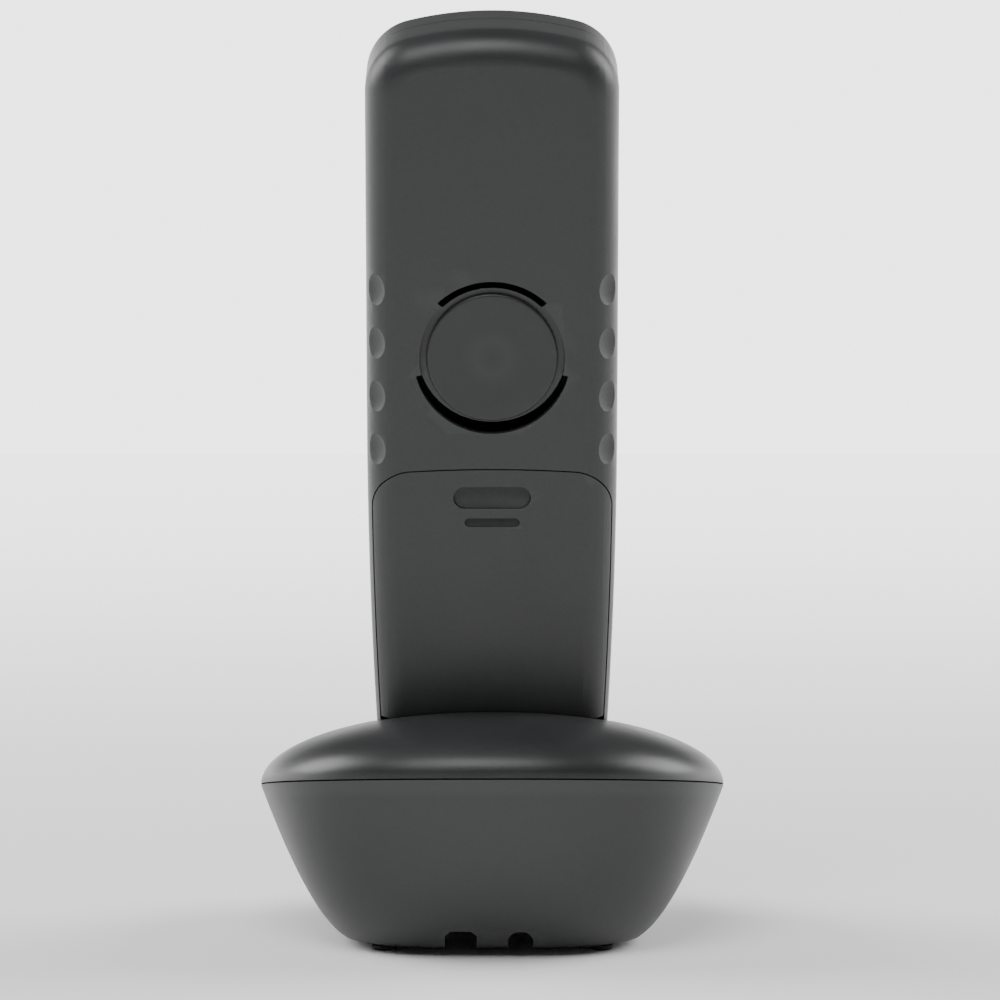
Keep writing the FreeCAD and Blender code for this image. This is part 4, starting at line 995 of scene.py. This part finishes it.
def runGroup(name, group, values, stand):
    # the result is drawn in millimetres and becomes one plain mesh
    holder = newPiece(name, bmesh.new(), Matrix.Identity(4))
    step = holder.modifiers.new("nodes", "NODES")
    step.node_group = group
    for socket in group.interface.items_tree:
        if socket.in_out == "INPUT" and socket.name in values:
            step[socket.identifier] = values[socket.name]
    bakeModifiers(holder)
    holder.data.transform(stand)
    return holder


def endGroup(group, geometry, material):
    # every layout ends as real geometry in its own material
    whole = addNode(group, "GeometryNodeRealizeInstances", links={"Geometry": geometry})
    painted = addNode(group, "GeometryNodeSetMaterial", links={
        "Geometry": whole.outputs["Geometry"], "Material": material})
    addNode(group, "NodeGroupOutput", links={"Geometry": painted.outputs["Geometry"]})


def makeLattice():
    group = nodeGroup("latticeOfParts", [
        ("Shape", "NodeSocketObject", None), ("Start", "NodeSocketVector", (0, 0, 0)),
        ("Across Count", "NodeSocketInt", 2), ("Across Step", "NodeSocketVector", (1, 0, 0)),
        ("Deep Count", "NodeSocketInt", 2), ("Deep Step", "NodeSocketVector", (0, 1, 0)),
        ("Material", "NodeSocketMaterial", None)])
    given = addNode(group, "NodeGroupInput").outputs
    source = addNode(group, "GeometryNodeObjectInfo", {"transform_space": "ORIGINAL"}, {"Object": given["Shape"]})
    row = addNode(group, "GeometryNodeMeshLine", links={
        "Count": given["Across Count"], "Start Location": given["Start"], "Offset": given["Across Step"]})
    column = addNode(group, "GeometryNodeMeshLine", links={
        "Count": given["Deep Count"], "Offset": given["Deep Step"]})
    rows = addNode(group, "GeometryNodeInstanceOnPoints", links={
        "Points": column.outputs["Mesh"], "Instance": row.outputs["Mesh"]})
    points = addNode(group, "GeometryNodeRealizeInstances", links={"Geometry": rows.outputs["Instances"]})
    parts = addNode(group, "GeometryNodeInstanceOnPoints", links={
        "Points": points.outputs["Geometry"], "Instance": source.outputs["Geometry"]})
    endGroup(group, parts.outputs["Instances"], given["Material"])
    return group


def makeCoil():
    group = nodeGroup("conicalCoil", [
        ("Turns", "NodeSocketFloat", 3.5), ("Foot Radius", "NodeSocketFloat", 3.3),
        ("Tip Radius", "NodeSocketFloat", 1.6), ("Height", "NodeSocketFloat", 4.0),
        ("Wire", "NodeSocketFloat", 0.25), ("Material", "NodeSocketMaterial", None)])
    given = addNode(group, "NodeGroupInput").outputs
    coil = addNode(group, "GeometryNodeCurveSpiral", {"Resolution": 28}, {
        "Rotations": given["Turns"], "Start Radius": given["Foot Radius"], "End Radius": given["Tip Radius"],
        "Height": given["Height"]})
    wire = addNode(group, "GeometryNodeCurvePrimitiveCircle", {"Resolution": 8}, {"Radius": given["Wire"]})
    tube = addNode(group, "GeometryNodeCurveToMesh", {"Fill Caps": True}, {
        "Curve": coil.outputs["Curve"], "Profile Curve": wire.outputs["Curve"]})
    endGroup(group, tube.outputs["Mesh"], given["Material"])
    return group


def layOut(name, shape, start, across, deep, material, stand, body, slot, *replaced):
    # across and deep are each a count and a step, and the shape is used up
    values = {"Shape": shape, "Start": start, "Across Count": across[0], "Across Step": across[1],
              "Deep Count": deep[0], "Deep Step": deep[1], "Material": material}
    piece = runGroup(name, lattice, values, stand)
    bpy.data.objects.remove(shape)
    softenEdges(piece, 0, angle=45)
    return dress(piece, body, material, slot, *replaced)


def screwShape(radius, head, shank, length):
    # a pan head with a cross recess, head down
    profile = [(pole, 0), (radius * 0.6, 0), (radius * 0.92, head * 0.22), (radius, head * 0.55), (radius, head),
               (shank, head), (shank, head + length - 1), (shank * 0.4, head + length), (pole, head + length)]
    screw = lathe("screw", profile, Matrix.Identity(4), 32)
    arm = radius * 0.5
    cutAway(screw, [newPiece("arm", blockBm((-x, -y, -1), (x, y, head * 0.6)), Matrix.Identity(4))
                    for x, y in ((arm, radius * 0.11), (radius * 0.11, arm))])
    return screw


small = dict(
    footAcross=22.4, footDeep=16.5, baseScrew=(2.6, 1.8, 1.3, 18), baseScrewUp=1.55,
    handsetScrew=(2.1, 1.3, 0.85, 8), handsetScrewAcross=18, handsetScrewDepth=3.75, handsetScrewUp=64.6,
    springUp=16.75, clothPitch=0.5, clothDepth=0.25,
)
# strands of the woven cloth: low corner, high corner, start, count and step direction
strands = dict(
    clothUp=((-0.13, -10.3, 146.9), (0.13, -10.04, 155.3), (-5.25, 0, 0), 22, (1, 0, 0)),
    clothAcross=((-5.45, -10.42, -0.13), (5.45, -10.16, 0.13), (0, 0, 147.2), 17, (0, 0, 1)),
)


def makeSmallParts():
    s = small
    flat = Matrix.Identity(4)
    single = (1, (0, 1, 0))
    foot = lathe("foot", [(pole, 0.0), (1.95, 0.0), (2.25, 0.12), (2.4, 0.4), (2.4, 0.98), (pole, 0.98)], flat, 40)
    layOut("rubberFeet", foot, (-s["footAcross"], -s["footDeep"], 0), (2, (2 * s["footAcross"], 0, 0)),
           (2, (0, 2 * s["footDeep"], 0)), rubberFoot, baseStand, "base", "rubber_part", "base_feet")
    deep = base["screwDeep"]
    layOut("baseScrews", screwShape(*s["baseScrew"]), (-base["screwAcross"], deep[0], s["baseScrewUp"]),
           (2, (2 * base["screwAcross"], 0, 0)), (2, (0, deep[1] - deep[0], 0)), nickelSteel, baseStand,
           "base", "sheet_metal", "base_screws")
    stand = (handsetStand @ Matrix.Translation((0, s["handsetScrewDepth"], s["handsetScrewUp"]))
             @ Matrix.Rotation(math.pi / 2, 4, "X"))
    layOut("handsetScrews", screwShape(*s["handsetScrew"]), (-s["handsetScrewAcross"], 0, 0),
           (2, (2 * s["handsetScrewAcross"], 0, 0)), single, nickelSteel, stand,
           "handset", "sheet_metal", "handset_screws")
    coil = runGroup("coil", makeCoil(), {"Material": nickelSteel}, flat)
    layOut("cellSprings", coil, (-battery["across"], battery["depth"], s["springUp"]),
           (2, (2 * battery["across"], 0, 0)), single, nickelSteel, handsetStand,
           "handset", "sheet_metal", "battery_springs")
    clothStand = handsetStand @ Matrix.Translation((0, s["clothDepth"], 0))
    for name, (low, high, start, count, way) in strands.items():
        step = tuple(part * s["clothPitch"] for part in way)
        replaced = ["earpiece_mesh"] if name == "clothUp" else []
        layOut(name + "Wires", newPiece(name, blockBm(low, high), flat), start, (count, step), single, foamCloth,
               clothStand, "handset", "foam", *replaced)


lattice = makeLattice()
makeSmallParts()
print("small parts laid out")

for piece, body, slot, replaced in shown:
    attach(piece, body)
    if replaced:
        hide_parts(*replaced)

# the kept inner parts, each in the finish of its own kind
keptFinish = {
    "board": boardMask, "sheet_metal": nickelSteel, "gold_contact": goldContact, "components": componentBlack,
    "socket_plastic": nylonSocket, "rubber_part": siliconeMat, "foam": foamCloth, "speaker": speakerPaper,
    "display": panelGlass,
}
covered = {name for *_, replaced in shown for name in replaced}
slotOf = {part["node"]: part["material_slot"] for part in frame["record"]["subparts"]}
for name, node in nodes.items():
    if name not in covered:
        node.data.materials.clear()
        node.data.materials.append(keptFinish[slotOf[name]])
print("finishes given to", len(nodes) - len(covered), "kept parts")


# a pale floor in a soft studio that is bright behind the telephone and dim behind the camera
studio = dict(
    paper="#FAFAFA", floorReach=3.0, floorBack=1.0, underlight=2.3, underlightEnd=-0.07,
    bright=3.4, brightEnd=-0.55, dim=0.25, dimEnd=0.75, zenith=0.05, zenithStart=0.36,
)


def smoothFade(tree, value, start, end, low, high):
    return addNode(tree, "ShaderNodeMapRange", {
        "interpolation_type": "SMOOTHSTEP", "From Min": start, "From Max": end, "To Min": low, "To Max": high},
        {"Value": value})


reach, back = studio["floorReach"], -studio["floorBack"]
bm = bmesh.new()
bm.faces.new([bm.verts.new((x, y, 0)) for x, y in ((-reach, back), (reach, back), (reach, reach), (-reach, reach))])
floor = newPiece("floor", bm, Matrix.Identity(4))
floorMaterial, floorTree, floorPlace = startMaterial("paleSeamlessPaper")
floorParts = addNode(floorTree, "ShaderNodeSeparateXYZ", links={"Vector": floorPlace})
# light from below fades out from the far edge to the telephone
underlight = smoothFade(floorTree, floorParts.outputs["Y"], back, studio["underlightEnd"], studio["underlight"], 0.0)
endMaterial(floorTree, addNode(floorTree, "ShaderNodeBsdfPrincipled", {
    "Base Color": linearColour(studio["paper"]), "Roughness": 0.9, "Emission Color": linearColour(studio["paper"])},
    {"Emission Strength": underlight.outputs["Result"]}))
floor.data.materials.append(floorMaterial)

world = bpy.data.worlds.new("studio")
bpy.context.scene.world = world
world.use_nodes = True
sky = world.node_tree
sky.nodes.clear()
way = addNode(sky, "ShaderNodeTexCoord")
parts = addNode(sky, "ShaderNodeSeparateXYZ", links={"Vector": way.outputs["Generated"]})
acrossRoom = smoothFade(sky, parts.outputs["Y"], studio["dimEnd"], studio["brightEnd"],
                        studio["dim"], studio["bright"])
overhead = smoothFade(sky, parts.outputs["Z"], 0.0, studio["zenithStart"], 1.0, studio["zenith"])
level = addNode(sky, "ShaderNodeMath", {"operation": "MULTIPLY"})
sky.links.new(acrossRoom.outputs["Result"], level.inputs[0])
sky.links.new(overhead.outputs["Result"], level.inputs[1])
glow = addNode(sky, "ShaderNodeBackground", {"Color": (1, 1, 1, 1)}, {"Strength": level.outputs["Value"]})
addNode(sky, "ShaderNodeOutputWorld", links={"Surface": glow.outputs["Background"]})

lampTarget = (0, 0, 0.06)
lamps = [  # name, place, width, watts
    ("leftSoftbox", (1.15, -0.3, 0.8), 0.9, 20.0),
    ("rightSoftbox", (-1.15, -0.3, 0.8), 0.9, 20.0),
    ("nearSoftbox", (0.2, 0.8, 1.3), 0.8, 13.0),
]
for name, spot, size, power in lamps:
    lamp = bpy.data.lights.new(name, "AREA")
    lamp.shape = "SQUARE"
    lamp.size = size
    lamp.energy = power
    holder = bpy.data.objects.new(name, lamp)
    bpy.context.scene.collection.objects.link(holder)
    holder.location = spot
    holder.rotation_euler = (Vector(lampTarget) - Vector(spot)).to_track_quat("-Z", "Y").to_euler()

view = dict(distance=1.2, elevation=6.2, aimHeight=0.0911, aimAcross=-0.0016, lens=208.8)
camera = bpy.data.objects.new("camera", bpy.data.cameras.new("camera"))
bpy.context.scene.collection.objects.link(camera)
bpy.context.scene.camera = camera
tilt = math.radians(view["elevation"])
aim = Vector((view["aimAcross"], 0, view["aimHeight"]))
camera.location = aim + Vector((0, math.cos(tilt), math.sin(tilt))) * view["distance"]
camera.rotation_euler = (aim - camera.location).to_track_quat("-Z", "Y").to_euler()
camera.data.lens = view["lens"]
camera.data.clip_end = 50
print("studio lit")

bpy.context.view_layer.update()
